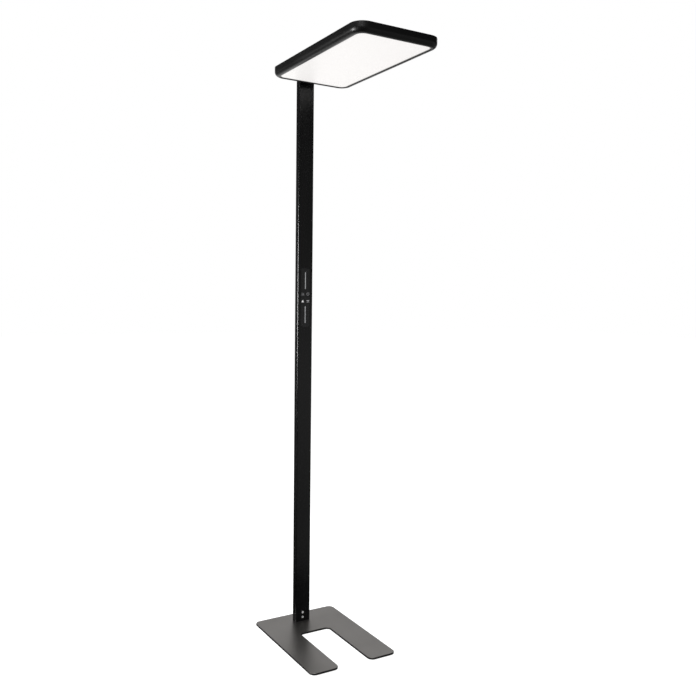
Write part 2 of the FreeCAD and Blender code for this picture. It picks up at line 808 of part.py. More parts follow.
def bracket_screws():
    """Two flat-head screws through the pole's back into the bracket."""
    body = new_body("bracket_screws", y=dim["pole_depth"] / 2, z=arm_bottom)
    shanks = new_sketch(body, "XZ_Plane")
    heads = new_sketch(body, "XZ_Plane")
    for x, z in bracket_screw_places():
        circle(shanks, x, z, dim["bracket_screw_diameter"] / 2 - dim["thread_slack"])
        circle(heads, x, z, dim["bracket_screw_diameter"] * 0.95)
    pad(body, shanks, dim["pole_wall"] + dim["bracket_screw_length"] - 0.5)
    pad(body, heads, dim["bracket_screw_diameter"] / 2, reverse=True)


# ---------------------------------------------------------------- light head

def head_housing():
    """Cast tray of the head: walls that roll under into a rim, with stepped seats inside.

    From the rim up there are the opening for the light, the seat for the diffuser and
    the light guide, the ledge for the mounting tray, and the chamber under the cover.
    """
    body = new_body("head_housing", y=head_centre, z=head_bottom)
    radius = dim["head_corner_radius"]
    plan = new_sketch(body, "XY_Plane")
    outline(plan, centred_box(dim["head_width"], dim["head_length"], radius))
    blank = pad(body, plan, dim["head_thickness"])
    lower = edges_where(blank, lambda edge: at_level(edge, 0.0))
    rolled = fillet(body, blank, lower, dim["head_edge_radius"])
    upper = edges_where(rolled, lambda edge: at_level(edge, SIZES["head_thickness"]))
    chamfer(body, rolled, upper, dim["head_top_chamfer"])
    steps = (
        (dim["rim_width"], 0.0),
        (dim["seat_inset"], dim["rim_lip"]),
        (dim["head_wall"], ledge_level),
    )
    for inset, level in steps:
        hollow = new_sketch(body, "XY_Plane", dim["head_thickness"])
        outline(hollow, centred_box(dim["head_width"] - 2 * inset,
                                    dim["head_length"] - 2 * inset, radius - inset))
        pocket(body, hollow, dim["head_thickness"] - level)
    bores = new_sketch(body, "XY_Plane", ledge_level)
    for x, y in cover_screw_places():
        circle(bores, x, y, dim["cover_screw_diameter"] / 2 + dim["thread_slack"])
    pocket(body, bores, dim["cover_screw_grip"] + 0.5)
    window = new_sketch(body, "XZ_Plane", -half_length)
    half, slack = dim["arm_width"] / 2, dim["block_clearance"]
    outline(window, box_corners(-half - slack, half + slack, tray_level - slack,
                                tray_level + arm_height + slack))
    pocket(body, window, dim["head_wall"] + slack, reverse=True)


def head_sheet(label, level, thickness, inset_x, inset_y, radius):
    """A flat plate with rounded corners that fills the head's plan at one level."""
    body = new_body(label, y=head_centre, z=head_bottom + level)
    sketch = new_sketch(body, "XY_Plane")
    outline(sketch, centred_box(dim["head_width"] - 2 * inset_x,
                                dim["head_length"] - 2 * inset_y, radius))
    pad(body, sketch, thickness)
    return body


def optical_sheets():
    """Opal diffuser on the rim, the edge-lit guide on it, and the white sheet above."""
    seat = dim["seat_inset"] + dim["sheet_clearance"]
    corner = dim["head_corner_radius"]
    head_sheet("diffuser", dim["rim_lip"], dim["diffuser_thickness"], seat, seat,
               corner - seat)
    guide_level = dim["rim_lip"] + dim["diffuser_thickness"]
    head_sheet("light_guide", guide_level, dim["guide_thickness"], guide_inset, seat,
               corner - guide_inset)
    head_sheet("reflector_sheet", guide_level + dim["guide_thickness"],
               dim["reflector_thickness"], guide_inset, seat, corner - guide_inset)


def led_strip(label, side):
    """Light strip on edge beside the guide, its lamps facing the guide."""
    wall = half_width - dim["seat_inset"]
    body = new_body(label, x=side * wall, y=head_centre,
                    z=head_bottom + dim["rim_lip"] + dim["diffuser_thickness"])
    inward_is_plus = side < 0
    strip_length = dim["head_length"] - 2 * dim["head_corner_radius"]
    strip_height = dim["guide_thickness"] + dim["reflector_thickness"]
    board = new_sketch(body, "YZ_Plane")
    outline(board, box_corners(-strip_length / 2, strip_length / 2, 0.0, strip_height))
    pad(body, board, dim["strip_thickness"], reverse=not inward_is_plus)
    pitch = strip_length / STRIP_LEDS
    lamp = new_sketch(body, "YZ_Plane", -side * dim["strip_thickness"])
    start = (pitch - strip_length) / 2
    half = dim["guide_thickness"] / 3
    outline(lamp, box_corners(start - half, start + half, half / 2, half * 2.5))
    first = pad(body, lamp, dim["strip_led_height"], reverse=not inward_is_plus)
    repeat(body, first, (lamp, ["H_Axis"]), pitch * (STRIP_LEDS - 1), STRIP_LEDS)


def repeat(body, feature, direction, length, count):
    """Evenly spaced copies of a feature along one direction."""
    pattern = body.newObject("PartDesign::LinearPattern", f"{body.Label}_row")
    pattern.Originals = [feature]
    pattern.Direction = direction
    pattern.Length = length.number
    pattern.setExpression("Length", length.text)
    pattern.Occurrences = count
    body.Tip = pattern


def mounting_tray():
    """Cast tray on the ledge: it carries the arm, the driver and the boards.

    Square pillars along its sides hold the cover up. The cover's screws pass through them.
    """
    body = head_sheet("mounting_tray", ledge_level, dim["tray_thickness"], sheet_inset,
                      sheet_inset, dim["head_corner_radius"] - sheet_inset)
    pillars = new_sketch(body, "XY_Plane", dim["tray_thickness"])
    half = dim["pillar_size"] / 2
    for x, y in cover_screw_places():
        outline(pillars, box_corners(x - half, x + half, y - half, y + half))
    pad(body, pillars, chamber_height)
    pillar_top = dim["tray_thickness"] + chamber_height
    long_bores = new_sketch(body, "XY_Plane", pillar_top)
    for x, y in cover_screw_places():
        circle(long_bores, x, y, dim["cover_screw_diameter"] / 2 + dim["panel_clearance"])
    pocket(body, long_bores, pillar_top)
    bores = new_sketch(body, "XY_Plane", dim["tray_thickness"])
    for x, y in arm_screw_places():
        circle(bores, x, y, dim["arm_screw_diameter"] / 2 + dim["thread_slack"])
    for x, y in driver_screw_places():
        circle(bores, x, y, dim["driver_screw_diameter"] / 2 + dim["thread_slack"])
    pocket(body, bores, dim["tray_thickness"])


def arm_screws():
    """Four screws that clamp the arm to the tray, their heads on the arm's top."""
    body = new_body("arm_screws", y=head_centre, z=arm_top)
    shanks = new_sketch(body, "XY_Plane")
    heads = new_sketch(body, "XY_Plane")
    for x, y in arm_screw_places():
        circle(shanks, x, y, dim["arm_screw_diameter"] / 2)
        circle(heads, x, y, dim["arm_screw_head"] / 2)
    pad(body, shanks, arm_height + dim["tray_thickness"] - dim["panel_clearance"],
        reverse=True)
    pad(body, heads, dim["arm_screw_diameter"] * 0.65)


def top_cover():
    """Sheet cover with the uplight window and its countersunk screw holes."""
    body = head_sheet("top_cover", cover_level, dim["cover_thickness"], sheet_inset,
                      sheet_inset, dim["head_corner_radius"] - sheet_inset)
    opening = new_sketch(body, "XY_Plane", dim["cover_thickness"])
    outline(opening, box_corners(-window_width / 2, window_width / 2, window_front,
                                 window_back, dim["window_corner_radius"]))
    pocket(body, opening, dim["cover_thickness"])
    bores = new_sketch(body, "XY_Plane", dim["cover_thickness"])
    hole = dim["cover_screw_diameter"] / 2 + dim["panel_clearance"]
    for x, y in cover_screw_places():
        circle(bores, x, y, hole)
    bored = pocket(body, bores, dim["cover_thickness"])
    mouths = edges_where(bored, lambda edge: round_edge(edge, hole)
                         and at_level(edge, SIZES["cover_thickness"]))
    chamfer(body, bored, mouths, (dim["cover_screw_head"] - dim["cover_screw_diameter"]) / 2)


def cover_screws():
    """Countersunk screws through the cover and the tray's pillars into the ledge."""
    body = new_body("cover_screws", y=head_centre, z=dim["lamp_height"])
    shanks = new_sketch(body, "XY_Plane")
    heads = new_sketch(body, "XY_Plane")
    for x, y in cover_screw_places():
        circle(shanks, x, y, dim["cover_screw_diameter"] / 2)
        circle(heads, x, y, dim["cover_screw_head"] / 2)
    pad(body, shanks, dim["head_thickness"] - ledge_level + dim["cover_screw_grip"],
        reverse=True)
    sink = (dim["cover_screw_head"] - dim["cover_screw_diameter"]) / 2
    sunk_head(body, heads, sink, reverse=True)


def uplight_lens():
    """Opal lens flush in the cover's window, with a flange bonded under the cover."""
    body = new_body("uplight_lens", y=head_centre, z=head_bottom + cover_level)
    slack = dim["sheet_clearance"]
    lens = new_sketch(body, "XY_Plane")
    half = window_width / 2 - slack
    outline(lens, box_corners(-half, half, window_front + slack, window_back - slack,
                              dim["window_corner_radius"] - slack))
    pad(body, lens, dim["cover_thickness"])
    flange = new_sketch(body, "XY_Plane")
    half = window_width / 2 + dim["window_flange"]
    outline(flange, box_corners(-half, half, window_front - dim["window_flange"],
                                window_back + dim["window_flange"],
                                dim["window_corner_radius"] + dim["window_flange"]))
    pad(body, flange, dim["cover_thickness"], reverse=True)


def uplight_board(index):
    """One of the light boards on the tray, under the window."""
    pitch = window_length / UPLIGHT_BOARDS
    middle = window_front + pitch * (index + 0.5)
    body = new_body(f"uplight_board_{index + 1}", y=head_centre + middle,
                    z=head_bottom + tray_level)
    length = window_width - 2 * dim["uplight_end_gap"]
    sketch = new_sketch(body, "XY_Plane")
    outline(sketch, centred_box(length, dim["uplight_board_depth"]))
    pad(body, sketch, dim["board_thickness"])
    lamp = new_sketch(body, "XY_Plane", dim["board_thickness"])
    step = length / UPLIGHT_LEDS
    start = (step - length) / 2
    half = dim["uplight_board_depth"] / 7
    outline(lamp, box_corners(start - half, start + half, -half, half))
    first = pad(body, lamp, dim["strip_led_height"])
    repeat(body, first, (lamp, ["H_Axis"]), step * (UPLIGHT_LEDS - 1), UPLIGHT_LEDS)


def led_driver():
    """Low-profile driver across the back of the head, with a screw ear at each end."""
    middle = driver_back - dim["driver_depth"] / 2
    body = new_body("led_driver", y=head_centre + middle, z=head_bottom + tray_level)
    ears = new_sketch(body, "XY_Plane")
    outline(ears, centred_box(driver_length, dim["driver_depth"], 2.0))
    pad(body, ears, dim["driver_ear_thickness"])
    case = new_sketch(body, "XY_Plane")
    outline(case, centred_box(driver_length - 2 * dim["driver_ear"], dim["driver_depth"]))
    boxed = pad(body, case, driver_height)
    rim = edges_where(boxed, lambda edge: at_level(edge, driver_height.number))
    chamfer(body, boxed, rim, dim["driver_ear_thickness"] / 2)
    bores = new_sketch(body, "XY_Plane", dim["driver_ear_thickness"])
    for side in (-1, 1):
        circle(bores, side * (driver_length - dim["driver_ear"]) / 2, 0.0,
               dim["driver_screw_diameter"] / 2 + dim["panel_clearance"])
    pocket(body, bores, dim["driver_ear_thickness"])


def driver_screws():
    """Pan-head screws through the driver's ears."""
    body = new_body("driver_screws", y=head_centre,
                    z=head_bottom + tray_level + dim["driver_ear_thickness"])
    shanks = new_sketch(body, "XY_Plane")
    heads = new_sketch(body, "XY_Plane")
    for x, y in driver_screw_places():
        circle(shanks, x, y, dim["driver_screw_diameter"] / 2)
        circle(heads, x, y, dim["driver_screw_diameter"])
    reach = dim["driver_ear_thickness"] + dim["tray_thickness"] - dim["panel_clearance"]
    pad(body, shanks, reach, reverse=True)
    pad(body, heads, dim["driver_screw_diameter"] * 0.7)


def head_terminal():
    """Terminal block between the arm's end and the driver."""
    body = new_body("head_terminal", y=head_centre + terminal_back - head_terminal_depth / 2,
                    z=head_bottom + tray_level)
    sketch = new_sketch(body, "XY_Plane")
    outline(sketch, centred_box(dim["terminal_width"], head_terminal_depth))
    pad(body, sketch, driver_height)
    wells = new_sketch(body, "XY_Plane", driver_height)
    wire_wells(wells, 0.0)
    pocket(body, wells, driver_height / 3)


# ---------------------------------------------------------------- build in order

def build_lamp():
    """Every sub-part, from the floor up."""
    base_plate()
    base_pads()
    foot_block()
    base_screws()
    foot_screws()
    pole()
    pole_cap()
    supply_gland()
    supply_terminal()
    pole_lead()
    lead_clips()
    touch_panel()
    slider_light("upper_slider_light", 1)
    slider_light("lower_slider_light", -1)
    touch_board()
    head_bracket()
    bracket_screws()
    head_housing()
    optical_sheets()
    led_strip("led_strip_left", -1)
    led_strip("led_strip_right", 1)
    mounting_tray()
    arm_screws()
    top_cover()
    cover_screws()
    uplight_lens()
    for index in range(UPLIGHT_BOARDS):
        uplight_board(index)
    led_driver()
    driver_screws()
    head_terminal()


build_lamp()


# ---------------------------------------------------------------- checks and files

doc.recompute()
for item in doc.Objects:
    if "Invalid" in item.State or "Error" in item.State:
        raise RuntimeError(f"{item.Name} is {item.State}")
os.makedirs("parts", exist_ok=True)
for node in nodes:
    if node.Shape.isNull() or not node.Shape.isValid():
        raise RuntimeError(f"{node.Label} has no valid shape")
    node.Shape.exportStep(f"parts/{node.Label}.step")
    solids = len(node.Shape.Solids)
    print(f"{node.Label}: {solids} solid(s), {node.Shape.Volume / 1000.0:.2f} cm3")
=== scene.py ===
"""Office floor lamp: looks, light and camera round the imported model.

The lamp is a black U-shaped foot plate, a slim pole with a touch panel, and a flat head with
an opal light field below and an opal window above. Metres, +Z up, the front is -Y.
"""

import logging
import math
from collections.abc import Callable, Sequence
from dataclasses import dataclass, field
from enum import Enum

import bpy
from mathutils import Matrix, Vector


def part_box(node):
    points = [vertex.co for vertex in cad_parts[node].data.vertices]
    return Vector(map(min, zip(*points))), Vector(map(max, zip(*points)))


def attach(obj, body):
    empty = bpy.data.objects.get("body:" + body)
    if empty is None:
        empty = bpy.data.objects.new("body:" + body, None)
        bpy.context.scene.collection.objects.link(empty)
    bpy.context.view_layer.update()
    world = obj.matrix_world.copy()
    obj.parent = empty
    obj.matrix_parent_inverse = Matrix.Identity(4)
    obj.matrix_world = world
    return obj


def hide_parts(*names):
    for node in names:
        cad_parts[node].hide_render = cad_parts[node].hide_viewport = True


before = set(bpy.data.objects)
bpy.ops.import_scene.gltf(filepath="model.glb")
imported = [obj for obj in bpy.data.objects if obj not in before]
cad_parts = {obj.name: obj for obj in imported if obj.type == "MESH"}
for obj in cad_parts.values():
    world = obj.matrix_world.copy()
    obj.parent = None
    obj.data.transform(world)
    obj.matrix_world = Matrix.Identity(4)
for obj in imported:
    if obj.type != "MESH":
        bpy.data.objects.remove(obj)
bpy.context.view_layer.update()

log = logging.getLogger("floor_lamp")

Color = tuple[float, float, float]
Pair = tuple[float, float]
Socket = bpy.types.NodeSocket
Tree = bpy.types.NodeTree

MM = 0.001
BODY = "root"
MERGE_DISTANCE = 1e-7
SAME_LEVEL = 1e-6
FACING_DOWN = -0.9
SMOOTH_ANGLE = math.radians(35.0)
BUMP_STRENGTH = 0.6
UNIT: Pair = (0.0, 1.0)
LEVEL = Vector((1.0, 1.0, 0.0))

# The head's flat rim and the corner radius of the opening inside it, then how far from the
# rim the painted shade along the diffuser's edge starts and is at its darkest.
RIM_WIDTH = 17.0 * MM
OPENING_RADIUS = 24.5 * MM
PAINTED_SHADE_START = 7.0 * MM
PAINTED_SHADE_FULL = 2.0 * MM


# ---------------------------------------------------------------- modelling by hand

def deselect_all() -> None:
    """Leaves object mode with nothing selected."""
    if bpy.context.object and bpy.context.object.mode != "OBJECT":
        bpy.ops.object.mode_set(mode="OBJECT")
    bpy.ops.object.select_all(action="DESELECT")


def make_active(piece: bpy.types.Object) -> None:
    """Selects one piece alone and makes it the active one.

    Args:
        piece: The piece.
    """
    deselect_all()
    piece.select_set(True)
    bpy.context.view_layer.objects.active = piece


def edit(piece: bpy.types.Object, mode: str = "FACE") -> None:
    """Opens a piece in edit mode with nothing selected.

    Args:
        piece: The mesh to edit.
        mode: VERT, EDGE or FACE selection.
    """
    make_active(piece)
    bpy.ops.object.mode_set(mode="EDIT")
    bpy.ops.mesh.select_mode(type=mode)
    bpy.ops.mesh.select_all(action="DESELECT")


def pick(piece: bpy.types.Object, kind: str,
         wanted: Callable[[bpy.types.bpy_struct], bool]) -> int:
    """Selects the faces, edges or points of a piece that are wanted, in edit mode.

    Args:
        piece: The mesh, open in edit mode.
        kind: polygons, edges or vertices.
        wanted: Takes one of them, and says whether it is wanted.

    Returns:
        How many are selected.
    """
    bpy.ops.object.mode_set(mode="OBJECT")
    count = 0
    for element in getattr(piece.data, kind):
        element.select = wanted(element)
        count += element.select
    bpy.ops.object.mode_set(mode="EDIT")
    return count


def settle(piece: bpy.types.Object) -> bpy.types.Object:
    """Puts a piece's place, turn and size into its mesh, so that it sits at the origin.

    Args:
        piece: The piece in its place.

    Returns:
        The same piece.
    """
    make_active(piece)
    bpy.ops.object.transform_apply(location=True, rotation=True, scale=True)
    return piece


def outward(piece: bpy.types.Object) -> None:
    """Merges doubles and turns all faces outwards.

    Args:
        piece: The mesh to mend.
    """
    edit(piece, "VERT")
    bpy.ops.mesh.select_all(action="SELECT")
    bpy.ops.mesh.remove_doubles(threshold=MERGE_DISTANCE)
    bpy.ops.mesh.normals_make_consistent(inside=False)
    bpy.ops.object.mode_set(mode="OBJECT")


def apply_modifier(piece: bpy.types.Object, kind: str, **settings: object) -> None:
    """Adds one modifier and applies it.

    Args:
        piece: The piece to change.
        kind: The modifier's type.
        **settings: The modifier's own values.
    """
    make_active(piece)
    modifier = piece.modifiers.new(kind.lower(), kind)
    for name, value in settings.items():
        setattr(modifier, name, value)
    bpy.ops.object.modifier_apply(modifier=modifier.name)


def joined(pieces: Sequence[bpy.types.Object], name: str) -> bpy.types.Object:
    """Joins pieces into one named mesh.

    Args:
        pieces: At least one mesh.
        name: The new name.

    Returns:
        The joined mesh.
    """
    deselect_all()
    for piece in pieces:
        piece.select_set(True)
    bpy.context.view_layer.objects.active = pieces[0]
    if len(pieces) > 1:
        bpy.ops.object.join()
    pieces[0].name = name
    return pieces[0]


def copied(piece: bpy.types.Object, shift: Vector) -> bpy.types.Object:
    """A copy of a piece with its own mesh, moved by a vector.

    Args:
        piece: The piece to copy, settled at the origin.
        shift: How far the copy's mesh moves.

    Returns:
        The copy.
    """
    twin = piece.copy()
    twin.data = piece.data.copy()
    twin.data.transform(Matrix.Translation(shift))
    bpy.context.scene.collection.objects.link(twin)
    return twin


# ---------------------------------------------------------------- shared surface effects

class NodeBoard:
    """Adds and joins nodes in one tree."""

    def __init__(self, tree: Tree) -> None:
        """Starts on an existing tree."""
        self.tree = tree

    def add(self, kind: str, **values: object) -> bpy.types.Node:
        """Adds a node and sets its own properties.

        Args:
            kind: The node's type name.
            **values: Properties of the node.

        Returns:
            The new node.
        """
        node = self.tree.nodes.new(kind)
        for name, value in values.items():
            setattr(node, name, value)
        return node

    def join(self, source: Socket, target: Socket) -> None:
        """Links one socket to another."""
        self.tree.links.new(source, target)

    def noise(self, coordinates: Socket, scale: float, detail: float = 2.0,
              roughness: float = 0.5) -> Socket:
        """A noise texture's value.

        Args:
            coordinates: Where the noise is read.
            scale: Its scale per metre.
            detail: Its octaves.
            roughness: How strong the finer octaves are.

        Returns:
            The factor socket.
        """
        node = self.add("ShaderNodeTexNoise")
        node.inputs["Scale"].default_value = scale
        node.inputs["Detail"].default_value = detail
        node.inputs["Roughness"].default_value = roughness
        self.join(coordinates, node.inputs["Vector"])
        return node.outputs["Factor" if "Factor" in node.outputs else "Fac"]

    def stretched(self, coordinates: Socket, scale: Color) -> Socket:
        """Coordinates scaled by a different amount along each axis.

        Args:
            coordinates: The coordinates.
            scale: The three amounts.

        Returns:
            The scaled coordinates.
        """
        node = self.add("ShaderNodeMapping")
        node.inputs["Scale"].default_value = scale
        self.join(coordinates, node.inputs["Vector"])
        return node.outputs["Vector"]

    def ranged(self, value: Socket, source: Pair, target: Pair = UNIT) -> Socket:
        """A value mapped from one range to another, clamped.

        Args:
            value: The value to map.
            source: Its low and high end.
            target: What those ends become.

        Returns:
            The mapped value.
        """
        node = self.add("ShaderNodeMapRange")
        for name, number in zip(("From Min", "From Max", "To Min", "To Max"),
                                (*source, *target)):
            node.inputs[name].default_value = number
        self.join(value, node.inputs["Value"])
        return node.outputs["Result"]

    def math(self, operation: str, first: Socket, second: Socket | float) -> Socket:
        """One step of arithmetic on two values.

        Args:
            operation: The node's operation.
            first: The first value.
            second: The second value, or a number.

        Returns:
            The result.
        """
        node = self.add("ShaderNodeMath", operation=operation)
        self.join(first, node.inputs[0])
        if isinstance(second, (int, float)):
            node.inputs[1].default_value = second
        else:
            self.join(second, node.inputs[1])
        return node.outputs[0]

    def vector(self, operation: str, first: Socket, second: Vector | None = None,
               output: str = "Vector") -> Socket:
        """One step of arithmetic on a vector.

        Args:
            operation: The node's operation.
            first: The vector.
            second: A constant vector, where the operation needs one.
            output: Value, where the result is a number.

        Returns:
            The result.
        """
        node = self.add("ShaderNodeVectorMath", operation=operation)
        self.join(first, node.inputs[0])
        if second is not None:
            node.inputs[1].default_value = second
        return node.outputs[output]

    def part(self, vector: Socket, axis: str) -> Socket:
        """One part of a vector.

        Args:
            vector: The vector.
            axis: X, Y or Z.

        Returns:
            The part along that axis.
        """
        node = self.add("ShaderNodeSeparateXYZ")
        self.join(vector, node.inputs[0])
        return node.outputs[axis]

    def glossy(self) -> Socket:
        """One for the rays of a gloss, in the tree of a material or the world alone."""
        return self.add("ShaderNodeLightPath").outputs["Is Glossy Ray"]

    def mixed_color(self, factor: Socket, first: Color, second: Color) -> Socket:
        """A colour between two, by a factor.

        Args:
            factor: Zero for the first colour and one for the second.
            first: The first colour.
            second: The second colour.

        Returns:
            The mixed colour.
        """
        node = self.add("ShaderNodeMix", data_type="RGBA")
        node.inputs[6].default_value = (*first, 1.0)
        node.inputs[7].default_value = (*second, 1.0)
        self.join(factor, node.inputs[0])
        return node.outputs[2]


class Surface(Enum):
    """The patterns that a finish can carry."""

    COAT = "fine_coat"
    EXTRUSION = "drawn_lines"
    CAST = "cast_skin"
    MOULDED = "moulded_grain"
    TURNED = "turned_metal"
    GLOSS = "handled_gloss"
    BOARD = "printed_board"
    SHEET = "frosted_sheet"
    LIT_FIELD = "field_with_painted_rim_shade"


@dataclass(frozen=True)
class EffectGroups:
    """Builds each shared node group once. Every group gives a height and a mask."""

    def group(self, surface: Surface) -> bpy.types.NodeTree:
        """The node group of one pattern, made the first time it is asked for.

        Args:
            surface: The pattern.

        Returns:
            A group with inputs Vector and Scale, and outputs Height and Mask.
        """
        name = surface.value
        if name in bpy.data.node_groups:
            return bpy.data.node_groups[name]
        tree = bpy.data.node_groups.new(name, "ShaderNodeTree")
        face = tree.interface
        face.new_socket(name="Vector", in_out="INPUT", socket_type="NodeSocketVector")
        scale = face.new_socket(name="Scale", in_out="INPUT", socket_type="NodeSocketFloat")
        scale.default_value = 1.0
        face.new_socket(name="Height", in_out="OUTPUT", socket_type="NodeSocketFloat")
        face.new_socket(name="Mask", in_out="OUTPUT", socket_type="NodeSocketFloat")
        board = NodeBoard(tree)
        entry = board.add("NodeGroupInput")
        leave = board.add("NodeGroupOutput")
        scaled = board.add("ShaderNodeVectorMath", operation="SCALE")
        board.join(entry.outputs["Vector"], scaled.inputs[0])
        board.join(entry.outputs["Scale"], scaled.inputs["Scale"])
        height, mask = getattr(self, name)(board, scaled.outputs[0])
        board.join(height, leave.inputs["Height"])
        board.join(mask, leave.inputs["Mask"])
        return tree

    def fine_coat(self, board: NodeBoard, place: Socket) -> tuple[Socket, Socket]:
        """Powder coat: fine orange peel, with soft patches where it was handled.

        Args:
            board: The group's nodes.
            place: The scaled coordinates.

        Returns:
            The height and the mask.
        """
        peel = board.noise(place, 1400.0, 3.0, 0.55)
        grit = board.noise(place, 5200.0, 1.0)
        height = board.math("ADD", peel, board.math("MULTIPLY", grit, 0.35))
        return height, board.ranged(board.noise(place, 9.0, 4.0), (0.38, 0.66))

    def drawn_lines(self, board: NodeBoard, place: Socket) -> tuple[Socket, Socket]:
        """Extruded metal: long fine lines up the profile under a thin coat.

        Args:
            board: The group's nodes.
            place: The scaled coordinates.

        Returns:
            The height and the mask.
        """
        lines = board.noise(board.stretched(place, (900.0, 900.0, 6.0)), 1.0, 3.0)
        peel = board.noise(place, 1800.0, 2.0)
        height = board.math("ADD", board.math("MULTIPLY", lines, 0.6), peel)
        drift = board.noise(board.stretched(place, (40.0, 40.0, 3.0)), 1.0, 3.0)
        return height, board.ranged(drift, (0.35, 0.65))

    def cast_skin(self, board: NodeBoard, place: Socket) -> tuple[Socket, Socket]:
        """Die-cast skin: a rounder grain, with flow patches.

        Args:
            board: The group's nodes.
            place: The scaled coordinates.

        Returns:
            The height and the mask.
        """
        grain = board.noise(place, 900.0, 4.0, 0.6)
        flow = board.noise(place, 30.0, 3.0, 0.6)
        return grain, board.ranged(flow, (0.35, 0.7))

    def moulded_grain(self, board: NodeBoard, place: Socket) -> tuple[Socket, Socket]:
        """Spark-eroded grain of a moulded plastic or rubber piece.

        Args:
            board: The group's nodes.
            place: The scaled coordinates.

        Returns:
            The height and the mask.
        """
        cells = board.add("ShaderNodeTexVoronoi")
        cells.inputs["Scale"].default_value = 2400.0
        board.join(place, cells.inputs["Vector"])
        rub = board.noise(place, 60.0, 3.0)
        return cells.outputs["Distance"], board.ranged(rub, (0.4, 0.65))

    def turned_metal(self, board: NodeBoard, place: Socket) -> tuple[Socket, Socket]:
        """Plated fasteners: fine scratches and small dull spots.

        Args:
            board: The group's nodes.
            place: The scaled coordinates.

        Returns:
            The height and the mask.
        """
        scratch = board.noise(board.stretched(place, (3000.0, 900.0, 3000.0)), 1.0, 2.0)
        spots = board.noise(place, 700.0, 2.0)
        return scratch, board.ranged(spots, (0.45, 0.62))

    def handled_gloss(self, board: NodeBoard, place: Socket) -> tuple[Socket, Socket]:
        """Gloss acrylic: nearly flat, with finger smudges.

        Args:
            board: The group's nodes.
            place: The scaled coordinates.

        Returns:
            The height and the mask.
        """
        wave = board.noise(place, 160.0, 1.0)
        smudge = board.noise(place, 95.0, 5.0, 0.65)
        return wave, board.ranged(smudge, (0.48, 0.7))

    def printed_board(self, board: NodeBoard, place: Socket) -> tuple[Socket, Socket]:
        """Circuit board: copper runs under the lacquer.

        Args:
            board: The group's nodes.
            place: The scaled coordinates.

        Returns:
            The height and the mask.
        """
        runs = board.add("ShaderNodeTexBrick", offset=0.5)
        runs.inputs["Scale"].default_value = 120.0
        runs.inputs["Mortar Size"].default_value = 0.035
        runs.inputs["Color1"].default_value = (1.0, 1.0, 1.0, 1.0)
        runs.inputs["Color2"].default_value = (1.0, 1.0, 1.0, 1.0)
        runs.inputs["Mortar"].default_value = (0.0, 0.0, 0.0, 1.0)
        board.join(place, runs.inputs["Vector"])
        return board.noise(place, 800.0, 2.0), runs.outputs["Fac"]

    def frosted_sheet(self, board: NodeBoard, place: Socket) -> tuple[Socket, Socket]:
        """Frosted acrylic: a very fine matte skin and a faint unevenness.

        Args:
            board: The group's nodes.
            place: The scaled coordinates.

        Returns:
            The height and the mask.
        """
        skin = board.noise(place, 3000.0, 2.0)
        cloud = board.noise(place, 6.0, 2.0)
        return skin, board.ranged(cloud, (0.3, 0.7))

    def field_with_painted_rim_shade(self, board: NodeBoard, place: Socket) -> tuple[Socket, Socket]:
        """Frosted acrylic lit from its sides: its mask is painted shade along the edge next
        to the rim, which darkens both the colour and the glow there.

        Args:
            board: The group's nodes.
            place: The scaled coordinates.

        Returns:
            The height and the mask.
        """
        low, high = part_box("head_housing")
        middle = (low + high) / 2
        core = (high - low) / 2 - LEVEL * (RIM_WIDTH + OPENING_RADIUS)
        moved = board.vector("SUBTRACT", place, middle)
        beyond = board.vector("SUBTRACT", board.vector("ABSOLUTE", moved), core)
        flat = board.vector("MULTIPLY", board.vector("MAXIMUM", beyond, Vector()), LEVEL)
        dim = (OPENING_RADIUS - PAINTED_SHADE_START, OPENING_RADIUS - PAINTED_SHADE_FULL)
        edge = board.ranged(board.vector("LENGTH", flat, output="Value"), dim)
        return board.noise(place, 3000.0, 2.0), edge


EFFECTS = EffectGroups()


